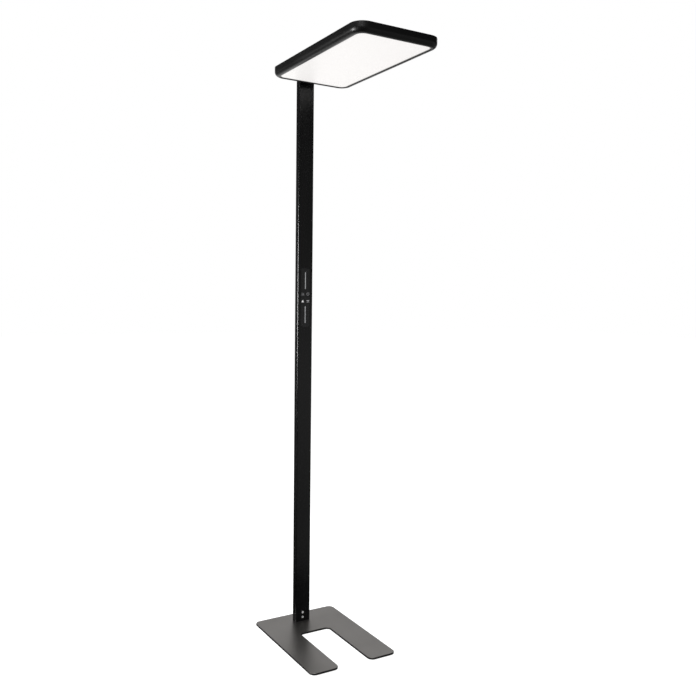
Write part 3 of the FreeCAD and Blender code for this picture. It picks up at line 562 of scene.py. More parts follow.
@dataclass(frozen=True)
class Finish:
    """One finish: a plain colour and gloss, varied by a surface pattern.

    The colour and the roughness run from their first to their second value with the
    pattern's mask, and the pattern's height raises the surface by up to bump_mm. The second
    colour is wear on most finishes and painted shade on the lit diffuser's edge. A glow is
    glow_at_mask as strong where the mask is one, and glow_in_gloss as strong in what other
    pieces mirror of it.
    """

    name: str
    surface: Surface
    color: Color
    wear_and_shade_color: Color
    roughness: Pair
    bump_mm: float = 0.01
    pattern_scale: float = 1.0
    metallic: float = 0.0
    ior: float = 1.5
    tint: Color = (1.0, 1.0, 1.0)
    glow: float = 0.0
    glow_color: Color = (1.0, 1.0, 1.0)
    glow_in_gloss: float = 1.0
    glow_at_mask: float = 0.965
    alpha: float = 1.0

    def material(self) -> bpy.types.Material:
        """The finish as a material, made the first time it is asked for.

        Returns:
            The material.
        """
        label = f"{self.name}_finish"
        if label in bpy.data.materials:
            return bpy.data.materials[label]
        made = bpy.data.materials.new(label)
        made.use_nodes = True
        board = NodeBoard(made.node_tree)
        shader = made.node_tree.nodes["Principled BSDF"]
        shader.inputs["Metallic"].default_value = self.metallic
        shader.inputs["IOR"].default_value = self.ior
        shader.inputs["Specular Tint"].default_value = (*self.tint, 1.0)
        shader.inputs["Alpha"].default_value = self.alpha
        place = board.add("ShaderNodeTexCoord").outputs["Object"]
        effect = board.add("ShaderNodeGroup", node_tree=EFFECTS.group(self.surface))
        effect.inputs["Scale"].default_value = self.pattern_scale
        board.join(place, effect.inputs["Vector"])
        mask = effect.outputs["Mask"]
        board.join(board.mixed_color(mask, self.color, self.wear_and_shade_color),
                   shader.inputs["Base Color"])
        board.join(board.ranged(mask, UNIT, self.roughness),
                   shader.inputs["Roughness"])
        bump = board.add("ShaderNodeBump")
        bump.inputs["Strength"].default_value = BUMP_STRENGTH
        bump.inputs["Distance"].default_value = self.bump_mm * MM
        board.join(effect.outputs["Height"], bump.inputs["Height"])
        board.join(bump.outputs["Normal"], shader.inputs["Normal"])
        if self.glow:
            self.light_up(board, mask, shader)
        return made

    def light_up(self, board: NodeBoard, mask: Socket, shader: bpy.types.Node) -> None:
        """Makes the finish glow, and fainter where it is seen in a gloss.

        Args:
            board: The material's nodes.
            mask: The pattern's mask, which dims the glow.
            shader: The material's shader.
        """
        dimmed = tuple(self.glow_at_mask * part for part in self.glow_color)
        shine = board.mixed_color(mask, self.glow_color, dimmed)
        blend = board.add("ShaderNodeMix", data_type="RGBA")
        board.join(board.glossy(), blend.inputs[0])
        board.join(shine, blend.inputs[6])
        faint = tuple(self.glow_in_gloss * part for part in self.glow_color)
        blend.inputs[7].default_value = (*faint, 1.0)
        board.join(blend.outputs[2], shader.inputs["Emission Color"])
        shader.inputs["Emission Strength"].default_value = self.glow

    def dress(self, piece: bpy.types.Object) -> None:
        """Gives a piece this finish alone."""
        piece.data.materials.clear()
        piece.data.materials.append(self.material())


class Finishes:
    """Every finish of the lamp."""

    STEEL_COAT = Finish("black_steel_coat", Surface.COAT, (0.010, 0.0098, 0.0094),
                        (0.012, 0.0117, 0.011), (0.35, 0.40), 0.012, ior=2.25,
                        tint=(1.0, 0.95, 0.90))
    POLE_COAT = Finish("black_pole_coat", Surface.EXTRUSION, (0.0018, 0.0018, 0.0019),
                       (0.0026, 0.0026, 0.0027), (0.23, 0.27), 0.003, ior=1.9)
    HEAD_COAT = Finish("black_head_coat", Surface.COAT, (0.0016, 0.0016, 0.0017),
                       (0.0023, 0.0023, 0.0024), (0.33, 0.39), 0.01, ior=1.65)
    CAST_METAL = Finish("cast_bracket", Surface.CAST, (0.0075, 0.0075, 0.0078),
                        (0.011, 0.011, 0.011), (0.42, 0.52), 0.03)
    TRAY_METAL = Finish("bare_tray", Surface.CAST, (0.62, 0.62, 0.63), (0.55, 0.55, 0.56),
                        (0.34, 0.45), 0.01, metallic=1.0)
    BLOCK_STEEL = Finish("milled_block", Surface.TURNED, (0.42, 0.42, 0.43),
                         (0.36, 0.35, 0.35), (0.3, 0.42), 0.006, metallic=1.0)
    BRIGHT_SCREW = Finish("bright_screw", Surface.TURNED, (0.88, 0.88, 0.88),
                          (0.8, 0.8, 0.8), (0.34, 0.46), 0.004, metallic=1.0)
    # Near-white and almost non-metallic: the plated screw heads' glint is painted into their
    # colour.
    PAINTED_GLINT_SCREW = Finish("screw_painted_glint", Surface.TURNED, (0.94, 0.94, 0.93),
                          (0.88, 0.88, 0.87), (0.36, 0.48), 0.003, metallic=0.05)
    BLACK_SCREW = Finish("blackened_screw", Surface.TURNED, (0.03, 0.03, 0.032),
                         (0.05, 0.05, 0.05), (0.3, 0.42), 0.004, metallic=0.8)
    PAD_RUBBER = Finish("pad_rubber", Surface.MOULDED, (0.014, 0.014, 0.014),
                        (0.022, 0.022, 0.021), (0.7, 0.85), 0.03)
    GLAND_RUBBER = Finish("gland_rubber", Surface.MOULDED, (0.01, 0.01, 0.01),
                          (0.016, 0.016, 0.016), (0.55, 0.7), 0.02)
    BLACK_PLASTIC = Finish("black_moulding", Surface.MOULDED, (0.006, 0.006, 0.0065),
                           (0.009, 0.009, 0.0095), (0.42, 0.52), 0.015)
    WHITE_PLASTIC = Finish("white_moulding", Surface.MOULDED, (0.74, 0.74, 0.72),
                           (0.68, 0.68, 0.66), (0.4, 0.5), 0.015)
    LEAD_SHEATH = Finish("lead_sheath", Surface.MOULDED, (0.72, 0.72, 0.7),
                         (0.62, 0.62, 0.6), (0.45, 0.6), 0.02)
    PANEL_ACRYLIC = Finish("panel_acrylic", Surface.GLOSS, (0.018, 0.018, 0.0185),
                           (0.022, 0.022, 0.0225), (0.16, 0.28), 0.002, ior=1.6)
    LIGHT_PIPE = Finish("frosted_light_pipe", Surface.SHEET, (0.50, 0.51, 0.52),
                        (0.44, 0.45, 0.46), (0.35, 0.45), 0.003)
    GREEN_BOARD = Finish("green_board", Surface.BOARD, (0.012, 0.11, 0.035),
                         (0.03, 0.2, 0.07), (0.3, 0.4), 0.01)
    WHITE_BOARD = Finish("white_board", Surface.BOARD, (0.78, 0.79, 0.78),
                         (0.66, 0.67, 0.64), (0.35, 0.45), 0.01)
    # The diffuser's colour and glow fall towards the rim as painted shade, through its
    # pattern's mask.
    OPAL_GLOW = Finish("opal_downlight", Surface.LIT_FIELD, (0.30, 0.295, 0.29),
                       (0.06, 0.059, 0.058), (0.45, 0.55), 0.002, glow=0.665,
                       glow_color=(1.0, 0.975, 0.962), glow_in_gloss=0.02,
                       glow_at_mask=0.12)
    OPAL_TOP = Finish("opal_uplight", Surface.SHEET, (0.80, 0.79, 0.78),
                      (0.77, 0.76, 0.75), (0.45, 0.55), 0.002, glow=0.3,
                      glow_color=(1.0, 0.985, 0.965), glow_in_gloss=0.3)
    GUIDE_ACRYLIC = Finish("guide_acrylic", Surface.SHEET, (0.9, 0.92, 0.93),
                           (0.86, 0.9, 0.92), (0.08, 0.14), 0.001, alpha=0.35)
    WHITE_SHEET = Finish("white_sheet", Surface.SHEET, (0.88, 0.88, 0.88),
                         (0.84, 0.84, 0.84), (0.6, 0.7), 0.004)
    PRINT_DIM = Finish("icon_print", Surface.SHEET, (0.30, 0.30, 0.31),
                       (0.26, 0.26, 0.27), (0.5, 0.6), 0.002)
    PRINT_CLEAR = Finish("icon_print_clear", Surface.SHEET, (0.55, 0.55, 0.56),
                         (0.5, 0.5, 0.51), (0.5, 0.6), 0.002)
    PRINT_LIT = Finish("icon_print_lit", Surface.SHEET, (0.8, 0.8, 0.8),
                       (0.74, 0.74, 0.74), (0.5, 0.6), 0.002, glow=0.5)


CAD_FINISHES: dict[str, Finish] = {
    "base_plate": Finishes.STEEL_COAT,
    "base_pads": Finishes.PAD_RUBBER,
    "foot_block": Finishes.BLOCK_STEEL,
    "base_screws": Finishes.BRIGHT_SCREW,
    "foot_screws": Finishes.BRIGHT_SCREW,
    "pole": Finishes.POLE_COAT,
    "pole_cap": Finishes.BLACK_PLASTIC,
    "supply_gland": Finishes.GLAND_RUBBER,
    "supply_terminal": Finishes.WHITE_PLASTIC,
    "pole_lead": Finishes.LEAD_SHEATH,
    "lead_clips": Finishes.BLACK_PLASTIC,
    "touch_panel": Finishes.PANEL_ACRYLIC,
    "upper_slider_light": Finishes.LIGHT_PIPE,
    "lower_slider_light": Finishes.LIGHT_PIPE,
    "touch_board": Finishes.GREEN_BOARD,
    "head_bracket": Finishes.CAST_METAL,
    "bracket_screws": Finishes.BLACK_SCREW,
    "head_housing": Finishes.HEAD_COAT,
    "diffuser": Finishes.OPAL_GLOW,
    "light_guide": Finishes.GUIDE_ACRYLIC,
    "reflector_sheet": Finishes.WHITE_SHEET,
    "led_strip_left": Finishes.WHITE_BOARD,
    "led_strip_right": Finishes.WHITE_BOARD,
    "mounting_tray": Finishes.TRAY_METAL,
    "arm_screws": Finishes.BRIGHT_SCREW,
    "top_cover": Finishes.HEAD_COAT,
    "cover_screws": Finishes.BLACK_SCREW,
    "uplight_lens": Finishes.OPAL_TOP,
    "uplight_board_1": Finishes.WHITE_BOARD,
    "uplight_board_2": Finishes.WHITE_BOARD,
    "uplight_board_3": Finishes.WHITE_BOARD,
    "uplight_board_4": Finishes.WHITE_BOARD,
    "led_driver": Finishes.WHITE_PLASTIC,
    "driver_screws": Finishes.BRIGHT_SCREW,
    "head_terminal": Finishes.WHITE_PLASTIC,
}


# ---------------------------------------------------------------- screws

@dataclass
class SocketScrew:
    """A screw with a hexagon socket: a countersunk head, or a button head that rises."""

    head_radius: float
    shank_radius: float
    length: float
    socket_radius: float
    socket_depth: float
    sunk: bool = True
    rise: float = 0.0
    sides: int = 40
    rounding: float = 0.6
    round_steps: int = 4

    def build(self, name: str) -> bpy.types.Object:
        """Models the screw pointing down -Z, its head's upper edge at z = 0.

        Args:
            name: The piece's name.

        Returns:
            The screw at the origin.
        """
        head = self.head_radius - self.shank_radius if self.sunk else self.rise
        middle = -head / 2 if self.sunk else head / 2
        deselect_all()
        bpy.ops.mesh.primitive_cylinder_add(vertices=self.sides, radius=self.head_radius,
                                            depth=head, location=(0.0, 0.0, middle))
        screw = settle(bpy.context.object)
        screw.name = name
        low = middle - head / 2
        edit(screw, "FACE")
        pick(screw, "polygons", lambda face: face.normal.z < FACING_DOWN)
        ratio = self.shank_radius / self.head_radius
        if self.sunk:
            bpy.ops.transform.resize(value=(ratio, ratio, 1.0))
        else:
            bpy.ops.mesh.inset(thickness=self.head_radius - self.shank_radius)
        bpy.ops.mesh.extrude_region_move(
            TRANSFORM_OT_translate={"value": (0.0, 0.0, -(self.length + low))})
        bpy.ops.object.mode_set(mode="OBJECT")
        if not self.sunk:
            self.round_top(screw, head)
        self.cut_socket(screw, middle + head / 2)
        outward(screw)
        make_active(screw)
        bpy.ops.object.shade_smooth_by_angle(angle=SMOOTH_ANGLE)
        return screw

    def round_top(self, screw: bpy.types.Object, level: float) -> None:
        """Rounds the rim of a button head.

        Args:
            screw: The screw.
            level: The height of the head's top.
        """
        edit(screw, "EDGE")
        pick(screw, "edges", lambda edge: all(
            abs(screw.data.vertices[i].co.z - level) < SAME_LEVEL for i in edge.vertices))
        bpy.ops.mesh.bevel(offset=self.rise * self.rounding, segments=self.round_steps,
                           affect="EDGES")
        bpy.ops.object.mode_set(mode="OBJECT")

    def cut_socket(self, screw: bpy.types.Object, top: float) -> None:
        """Cuts the six-sided socket.

        Args:
            screw: The screw.
            top: The height of the head's top.
        """
        deselect_all()
        bpy.ops.mesh.primitive_cylinder_add(
            vertices=6, radius=self.socket_radius, depth=2 * self.socket_depth,
            location=(0.0, 0.0, top))
        cutter = settle(bpy.context.object)
        apply_modifier(screw, "BOOLEAN", object=cutter, operation="DIFFERENCE",
                       solver="EXACT")
        bpy.data.objects.remove(cutter)


@dataclass
class ScrewSet:
    """Modelled screws that stand for one node of plain ones."""

    node: str
    pattern: SocketScrew
    finish: Finish
    places: Sequence[Vector]
    turn: Matrix
    slot: str

    def build(self) -> bpy.types.Object:
        """Places one copy of the screw at each place and joins them.

        Returns:
            The joined piece, which replaces the node.
        """
        first = self.pattern.build(f"{self.node}_first")
        first.data.transform(self.turn)
        copies = [copied(first, place) for place in self.places]
        bpy.data.objects.remove(first)
        piece = joined(copies, f"{self.node}_modelled")
        self.finish.dress(piece)
        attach(piece, BODY)
        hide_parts(self.node)
        return piece


# ---------------------------------------------------------------- touch panel's print

class Icon(Enum):
    """The generic marks on the touch fields."""

    POWER = "power"
    UPLIGHT = "uplight"
    DOWNLIGHT = "downlight"
    BRIGHTNESS = "brightness"


@dataclass
class PrintedIcon:
    """One mark in thin white print, drawn in the XZ plane and facing -Y.

    Shares and spans are parts of half the mark's size, and weights are parts of its line.
    """

    icon: Icon
    middle: Vector
    finish: Finish
    size: float = 12.0 * MM
    line: float = 1.5 * MM
    film: float = 0.12 * MM
    ring_sides: int = 48
    ring_share: float = 0.92
    ring_opening_degrees: float = 64.0
    stem_span: Pair = (0.1, 1.0)
    bar_level: float = 0.55
    bar_reach: float = 0.9
    bar_weight: float = 1.4
    bar_rounding: float = 0.35
    ray_weight: float = 0.8
    lamp_ray_span: Pair = (0.5, 1.35)
    lamp_ray_degrees: float = 38.0
    sun_ring_share: float = 0.48
    sun_ray_span: Pair = (0.66, 1.0)
    sun_ray_degrees: int = 45

    def build(self) -> bpy.types.Object:
        """Draws the mark's strokes, joins them and gives the print its thickness.

        Returns:
            The print, riding on the lamp.
        """
        strokes = getattr(self, self.icon.value)()
        piece = joined(strokes, f"icon_{self.icon.value}")
        edit(piece)
        bpy.ops.mesh.select_all(action="SELECT")
        bpy.ops.mesh.extrude_region_move(
            TRANSFORM_OT_translate={"value": (0.0, self.film, 0.0)})
        bpy.ops.object.mode_set(mode="OBJECT")
        piece.data.transform(Matrix.Translation(self.middle - Vector((0.0, self.film, 0.0))))
        outward(piece)
        self.finish.dress(piece)
        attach(piece, BODY)
        return piece

    def ring(self, radius: float, open_degrees: float = 0.0) -> bpy.types.Object:
        """A flat ring, open at its top if asked.

        Args:
            radius: Its outer radius.
            open_degrees: The angle of the opening at the top.

        Returns:
            The flat stroke.
        """
        deselect_all()
        bpy.ops.mesh.primitive_circle_add(vertices=self.ring_sides, radius=radius,
                                          fill_type="NOTHING",
                                          rotation=(math.pi / 2, 0.0, 0.0))
        stroke = settle(bpy.context.object)
        edit(stroke, "VERT")
        half = math.radians(open_degrees / 2)
        if open_degrees and pick(
                stroke, "vertices",
                lambda point: abs(math.atan2(point.co.x, point.co.z)) < half):
            bpy.ops.mesh.delete(type="VERT")
        bpy.ops.mesh.select_mode(type="EDGE")
        bpy.ops.mesh.select_all(action="SELECT")
        bpy.ops.mesh.extrude_edges_move()
        inner = (radius - self.line) / radius
        bpy.ops.transform.resize(value=(inner, 1.0, inner), center_override=(0.0, 0.0, 0.0))
        bpy.ops.object.mode_set(mode="OBJECT")
        return stroke

    def bar(self, start: Pair, end: Pair,
            width: float) -> bpy.types.Object:
        """A straight stroke between two points of the XZ plane, with its ends bevelled.

        Args:
            start: x and z of one end.
            end: x and z of the other end.
            width: The stroke's width.

        Returns:
            The flat stroke.
        """
        run = Vector((end[0] - start[0], 0.0, end[1] - start[1]))
        deselect_all()
        bpy.ops.mesh.primitive_plane_add(size=1.0)
        stroke = bpy.context.object
        length = run.length
        stroke.data.transform(Matrix.Diagonal((length, width, 1.0, 1.0)))
        stroke.data.transform(Matrix.Rotation(math.pi / 2, 4, "X"))
        stroke.data.transform(Matrix.Rotation(-math.atan2(run.z, run.x), 4, "Y"))
        middle = ((start[0] + end[0]) / 2, 0.0, (start[1] + end[1]) / 2)
        stroke.data.transform(Matrix.Translation(middle))
        edit(stroke, "VERT")
        bpy.ops.mesh.select_all(action="SELECT")
        bpy.ops.mesh.bevel(offset=width * self.bar_rounding, segments=3,
                           affect="VERTICES")
        bpy.ops.object.mode_set(mode="OBJECT")
        return stroke

    def rays(self, near: float, far: float, angles: Sequence[float],
             rise: float = 0.0) -> list[bpy.types.Object]:
        """Short strokes round a point.

        Args:
            near: Where each stroke starts, from the point.
            far: Where it ends.
            angles: Their directions, in degrees from straight up.
            rise: How high above the mark's middle the point lies.

        Returns:
            The flat strokes.
        """
        strokes = []
        for angle in angles:
            side, up = math.sin(math.radians(angle)), math.cos(math.radians(angle))
            strokes.append(self.bar((near * side, near * up + rise),
                                    (far * side, far * up + rise),
                                    self.line * self.ray_weight))
        return strokes

    def power(self) -> list[bpy.types.Object]:
        """An open ring with an upright bar.

        Returns:
            The flat strokes.
        """
        half = self.size / 2
        low, high = self.stem_span
        return [self.ring(half * self.ring_share, self.ring_opening_degrees),
                self.bar((0.0, half * low), (0.0, half * high), self.line)]

    def lamp(self, direction: int) -> list[bpy.types.Object]:
        """A level bar with rays above or below it.

        Args:
            direction: 1 for rays above the bar, and -1 for rays below it.

        Returns:
            The flat strokes.
        """
        half = self.size / 2
        level = -direction * half * self.bar_level
        reach = half * self.bar_reach
        bar = self.bar((-reach, level), (reach, level), self.line * self.bar_weight)
        turn = 0.0 if direction > 0 else 180.0
        angles = [turn - self.lamp_ray_degrees, turn, turn + self.lamp_ray_degrees]
        near, far = self.lamp_ray_span
        return [bar, *self.rays(half * near, half * far, angles, level)]

    def uplight(self) -> list[bpy.types.Object]:
        """Light above the lamp."""
        return self.lamp(1)

    def downlight(self) -> list[bpy.types.Object]:
        """Light below the lamp."""
        return self.lamp(-1)

    def brightness(self) -> list[bpy.types.Object]:
        """A ring with rays all round.

        Returns:
            The flat strokes.
        """
        half = self.size / 2
        near, far = self.sun_ray_span
        return [self.ring(half * self.sun_ring_share),
                *self.rays(half * near, half * far, range(0, 360, self.sun_ray_degrees))]


# ---------------------------------------------------------------- sub-assemblies

@dataclass
class DressedNodes:
    """CAD nodes that keep their shape and get their finish."""

    finishes: dict[str, Finish]

    def build(self) -> list[bpy.types.Object]:
        """Dresses every node of the frame.

        Returns:
            The dressed nodes.
        """
        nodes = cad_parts
        for name, node in nodes.items():
            self.finishes[name].dress(node)
            for face in node.data.polygons:
                face.use_smooth = False
        return list(nodes.values())


@dataclass
class Foot:
    """What Blender adds to the foot: the two screws in the pole's front."""

    head_radius: float = 4.0 * MM
    shank_radius: float = 1.95 * MM
    length: float = 11.0 * MM
    socket: Pair = (1.45 * MM, 1.6 * MM)

    def build(self) -> list[bpy.types.Object]:
        """Models the foot's visible screws.

        Returns:
            The pieces.
        """
        low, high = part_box("foot_screws")
        screw = SocketScrew(self.head_radius, self.shank_radius, self.length,
                            *self.socket)
        places = [Vector((0.0, low.y, low.z + self.head_radius)),
                  Vector((0.0, low.y, high.z - self.head_radius))]
        turn = Matrix.Rotation(math.pi / 2, 4, "X")
        # The foot's screws get a near-white finish that paints in their glint.
        return [ScrewSet("foot_screws", screw, Finishes.PAINTED_GLINT_SCREW, places, turn,
                         "zinc_screw").build()]


@dataclass
class TouchPanel:
    """The print on the touch panel."""

    middle_height: float = 1183.0 * MM
    column: float = 10.25 * MM
    row: float = 13.25 * MM
    plain_size: float = 12.0 * MM
    lit_size: float = 9.5 * MM
    marks: tuple[tuple[Icon, int, int, Finish], ...] = (
        (Icon.UPLIGHT, -1, 1, Finishes.PRINT_DIM),
        (Icon.POWER, 1, 1, Finishes.PRINT_DIM),
        (Icon.BRIGHTNESS, -1, -1, Finishes.PRINT_LIT),
        (Icon.DOWNLIGHT, 1, -1, Finishes.PRINT_CLEAR),
    )

    def build(self) -> list[bpy.types.Object]:
        """Draws the four marks on the panel's face.

        Returns:
            The marks.
        """
        low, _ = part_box("touch_panel")
        pieces = []
        for icon, side, up, finish in self.marks:
            middle = Vector((side * self.column, low.y, self.middle_height + up * self.row))
            size = self.lit_size if finish is Finishes.PRINT_LIT else self.plain_size
            pieces.append(PrintedIcon(icon, middle, finish, size).build())
        return pieces


@dataclass
class PoleTop:
    """The two button-head screws high in the pole's back."""

    head_radius: float = 4.75 * MM
    shank_radius: float = 2.45 * MM
    rise: float = 2.5 * MM
    length: float = 14.0 * MM
    socket: Pair = (1.75 * MM, 1.8 * MM)

    def build(self) -> list[bpy.types.Object]:
        """Models the bracket's screws.

        Returns:
            The pieces.
        """
        low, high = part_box("bracket_screws")
        screw = SocketScrew(self.head_radius, self.shank_radius, self.length,
                            *self.socket, sunk=False, rise=self.rise)
        level = (low.z + high.z) / 2
        side = high.x - self.head_radius
        places = [Vector((x, high.y - self.rise, level)) for x in (-side, side)]
        turn = Matrix.Rotation(-math.pi / 2, 4, "X")
        return [ScrewSet("bracket_screws", screw, Finishes.BLACK_SCREW, places,
                         turn, "black_screw").build()]


@dataclass
class LightHead:
    """What Blender adds to the head: the cover's countersunk screws."""

    head_radius: float = 2.75 * MM
    shank_radius: float = 1.5 * MM
    socket: Pair = (1.1 * MM, 1.0 * MM)
    rows: int = 3

    def build(self) -> list[bpy.types.Object]:
        """Models the cover's screws.

        Returns:
            The pieces.
        """
        low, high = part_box("cover_screws")
        screw = SocketScrew(self.head_radius, self.shank_radius, high.z - low.z,
                            *self.socket)
        side = high.x - self.head_radius
        first, last = low.y + self.head_radius, high.y - self.head_radius
        step = (last - first) / (self.rows - 1)
        places = [Vector((x, first + step * row, high.z))
                  for x in (-side, side) for row in range(self.rows)]
        return [ScrewSet("cover_screws", screw, Finishes.BLACK_SCREW, places,
                         Matrix.Identity(4), "black_screw").build()]


# ---------------------------------------------------------------- studio

@dataclass(frozen=True)
class BrightField:
    """The directions round the lamp in which its gloss sees a bright studio."""

    azimuth_degrees: float = 19.0
    inner_degrees: float = 10.0
    outer_degrees: float = 34.0
    top: Pair = (0.60, 0.85)

    def across(self, board: NodeBoard, direction: Socket) -> Socket:
        """One where a level direction lies in the field, falling to zero at its edges.

        Args:
            board: The nodes to add to.
            direction: A level direction of length one.

        Returns:
            The share of the field's brightness.
        """
        turn = math.radians(self.azimuth_degrees)
        middle = Vector((math.sin(turn), math.cos(turn), 0.0))
        edges = (math.cos(math.radians(self.outer_degrees)),
                 math.cos(math.radians(self.inner_degrees)))
        return board.ranged(board.vector("DOT_PRODUCT", direction, middle, "Value"), edges)


@dataclass(frozen=True)
class SoftLight:
    """One rectangular soft light that faces the pole's middle."""

    name: str
    place: Color
    size: Pair
    watts: float
    aim: Color = (0.0, 0.0, 1.1)

    def build(self) -> None:
        """Stands the light in its place and turns it to its aim."""
        data = bpy.data.lights.new(self.name, "AREA")
        data.shape = "RECTANGLE"
        data.size, data.size_y = self.size
        data.energy = self.watts
        light = bpy.data.objects.new(self.name, data)
        bpy.context.scene.collection.objects.link(light)
        light.location = self.place
        towards = Vector(self.aim) - Vector(self.place)
        light.rotation_euler = towards.to_track_quat("-Z", "Y").to_euler()


@dataclass
class Studio:
    """White floor and room, soft lights, and what the lamp's gloss sees of them.

    A gloss sees the floor and the room bright in one field of directions. Elsewhere both
    are dim, and dimmer on the lamp's left, and the floor dims again close to the foot.
    """

    bright: BrightField = field(default_factory=BrightField)
    lights: tuple[SoftLight, ...] = (
        SoftLight("key_light", (-1.6, -2.0, 4.4), (1.8, 1.8), 66.0),
        SoftLight("tall_side_light", (-2.0, 0.35, 1.20), (0.7, 0.75), 36.0),
        SoftLight("fill_light", (2.6, 1.6, 2.8), (1.6, 1.6), 16.0),
    )
    field_glow: float = 1.0
    floor_size: float = 40.0
    floor_white: float = 0.86
    floor_roughness: float = 0.9
    floor_lift: float = 0.65
    floor_gloss: Pair = (0.03, 0.20)
    floor_sides: Pair = (-0.3, 0.6)
    foot_reach: Pair = (0.42, 0.62)
    foot_share: float = 0.15
    near_reach: Pair = (0.5, 9.0)
    near_share: float = 0.5
    room_gloss: Pair = (0.025, 0.08)
    room_heights: Pair = (0.0, 0.25)
    room_sides: Pair = (-0.3, 0.4)
    room_left_share: float = 0.6
    room_light: float = 0.45

    def build(self) -> None:
        """Builds the floor, the world and the lights."""
        self.floor()
        self.world()
        for light in self.lights:
            light.build()

    def seen(self, board: NodeBoard) -> Socket:
        """One for rays from the camera, straight or through something clear.

        Args:
            board: The nodes to add to.

        Returns:
            One for such a ray and zero for any other.
        """
        path = board.add("ShaderNodeLightPath")
        return board.math("MAXIMUM", path.outputs["Is Camera Ray"],
                          path.outputs["Is Transmission Ray"])

    def level_direction(self, board: NodeBoard, place: Socket) -> tuple[Socket, Socket]:
        """The level direction of a place or a direction, of length one.

        Args:
            board: The nodes to add to.
            place: The place or the direction.

        Returns:
            The level direction, and its part along X.
        """
        unit = board.vector("NORMALIZE", board.vector("MULTIPLY", place, LEVEL))
        return unit, board.part(unit, "X")

    def lifted_floor(self, board: NodeBoard, shader: bpy.types.Node) -> Socket:
        """The white floor, and for the camera alone a white lift on top of it.

        Args:
            board: The floor's nodes.
            shader: The floor's plain shader.

        Returns:
            The lifted shader.
        """
        white = (self.floor_white, self.floor_white, self.floor_white, 1.0)
        shader.inputs["Base Color"].default_value = white
        shader.inputs["Roughness"].default_value = self.floor_roughness
        shader.inputs["Specular IOR Level"].default_value = 0.0
        lift = board.add("ShaderNodeEmission")
        board.join(board.math("MULTIPLY", self.seen(board), self.floor_lift),
                   lift.inputs["Strength"])
        lifted = board.add("ShaderNodeAddShader")
        board.join(shader.outputs[0], lifted.inputs[0])
        board.join(lift.outputs[0], lifted.inputs[1])
        return lifted.outputs[0]

    def mirrored_floor(self, board: NodeBoard) -> Socket:
        """What a gloss sees of the floor.

        Args:
            board: The floor's nodes.

        Returns:
            The shader for glossy rays.
        """
        place = board.add("ShaderNodeTexCoord").outputs["Object"]
        direction, side = self.level_direction(board, place)
        away = board.vector("LENGTH", place, output="Value")
        rise = board.math("MULTIPLY",
                          board.ranged(away, self.foot_reach, (self.foot_share, 1.0)),
                          board.ranged(away, self.near_reach, (self.near_share, 1.0)))
        near = board.math("MULTIPLY",
                          board.ranged(side, self.floor_sides, self.floor_gloss), rise)
        far = board.math("MULTIPLY", self.bright.across(board, direction), self.field_glow)
        mirrored = board.add("ShaderNodeEmission")
        board.join(board.math("MAXIMUM", near, far), mirrored.inputs["Strength"])
        return mirrored.outputs[0]

    def floor(self) -> None:
        """Lays a wide white floor that keeps the lamp's shadow."""
        deselect_all()
        bpy.ops.mesh.primitive_plane_add(size=self.floor_size)
        plane = bpy.context.object
        plane.name = "studio_floor"
        made = bpy.data.materials.new("studio_floor")
        made.use_nodes = True
        nodes = made.node_tree.nodes
        board = NodeBoard(made.node_tree)
        blend = board.add("ShaderNodeMixShader")
        board.join(board.glossy(), blend.inputs[0])
        board.join(self.lifted_floor(board, nodes["Principled BSDF"]), blend.inputs[1])
        board.join(self.mirrored_floor(board), blend.inputs[2])
        board.join(blend.outputs[0], nodes["Material Output"].inputs[0])
        plane.data.materials.append(made)

    def world(self) -> None:
        """White behind everything; in gloss, bright behind the lamp and dim elsewhere."""
        world = bpy.data.worlds.new("studio_world")
        bpy.context.scene.world = world
        world.use_nodes = True
        board = NodeBoard(world.node_tree)
        background = world.node_tree.nodes["Background"]
        place = board.add("ShaderNodeTexCoord").outputs["Generated"]
        direction, side = self.level_direction(board, place)
        height = board.part(place, "Z")
        low = board.ranged(height, self.bright.top, (1.0, 0.0))
        across = self.bright.across(board, direction)
        far = board.math("MULTIPLY", board.math("MULTIPLY", across, low), self.field_glow)
        dark, horizon = self.room_gloss
        near = board.math("MULTIPLY",
                          board.ranged(height, self.room_heights, (horizon, dark)),
                          board.ranged(side, self.room_sides, (self.room_left_share, 1.0)))
        plain = board.math("MAXIMUM", self.seen(board), self.room_light)
        level = board.add("ShaderNodeMix", data_type="FLOAT")
        board.join(board.glossy(), level.inputs[0])
        board.join(plain, level.inputs[2])
        board.join(board.math("MAXIMUM", near, far), level.inputs[3])
        board.join(level.outputs[0], background.inputs["Strength"])
        background.inputs["Color"].default_value = (1.0, 1.0, 1.0, 1.0)


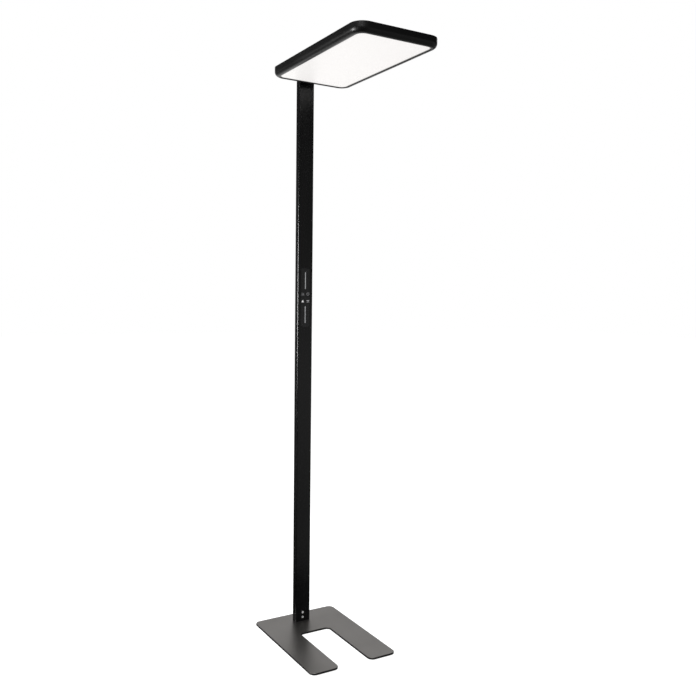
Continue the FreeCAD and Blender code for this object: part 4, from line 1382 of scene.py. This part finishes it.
@dataclass
class ViewCamera:
    """The camera that the picture's outlines were fitted with."""

    focal_px: float = 769.98
    image_px: float = 696.0
    sensor_mm: float = 36.0
    yaw_degrees: float = 30.62
    pitch_degrees: float = -3.86
    roll_degrees: float = 0.69
    place: Color = (-1.26146, -2.44527, 1.19072)
    clip: Pair = (0.05, 60.0)

    def build(self) -> None:
        """Stands the camera in its place and makes it the scene's camera."""
        yaw, pitch = math.radians(self.yaw_degrees), math.radians(self.pitch_degrees)
        roll = math.radians(self.roll_degrees)
        forward = Vector((math.sin(yaw) * math.cos(pitch), math.cos(yaw) * math.cos(pitch),
                          math.sin(pitch)))
        level = Vector((math.cos(yaw), -math.sin(yaw), 0.0))
        upright = level.cross(forward)
        right = level * math.cos(roll) + upright * math.sin(roll)
        up = upright * math.cos(roll) - level * math.sin(roll)
        data = bpy.data.cameras.new("view_camera")
        data.sensor_width = self.sensor_mm
        data.lens = self.focal_px * self.sensor_mm / self.image_px
        data.clip_start, data.clip_end = self.clip
        camera = bpy.data.objects.new("view_camera", data)
        bpy.context.scene.collection.objects.link(camera)
        turn = Matrix((right, up, -forward)).transposed().to_4x4()
        camera.matrix_world = Matrix.Translation(self.place) @ turn
        bpy.context.scene.camera = camera


@dataclass
class FloorLamp:
    """The whole lamp."""

    nodes: DressedNodes = field(default_factory=lambda: DressedNodes(CAD_FINISHES))
    foot: Foot = field(default_factory=Foot)
    panel: TouchPanel = field(default_factory=TouchPanel)
    pole_top: PoleTop = field(default_factory=PoleTop)
    head: LightHead = field(default_factory=LightHead)

    def build(self) -> None:
        """Builds each sub-assembly and reports its pieces."""
        for part in (self.nodes, self.foot, self.panel, self.pole_top, self.head):
            for piece in part.build():
                log.info("%s: %s, %d faces", type(part).__name__, piece.name,
                         len(piece.data.polygons))


def main() -> None:
    """Builds the lamp, the studio and the camera."""
    logging.basicConfig(level=logging.INFO, format="%(name)s: %(message)s")
    FloorLamp().build()
    Studio().build()
    ViewCamera().build()
    bpy.context.scene.view_settings.view_transform = "Standard"
    deselect_all()


if __name__ == "__main__":
    main()
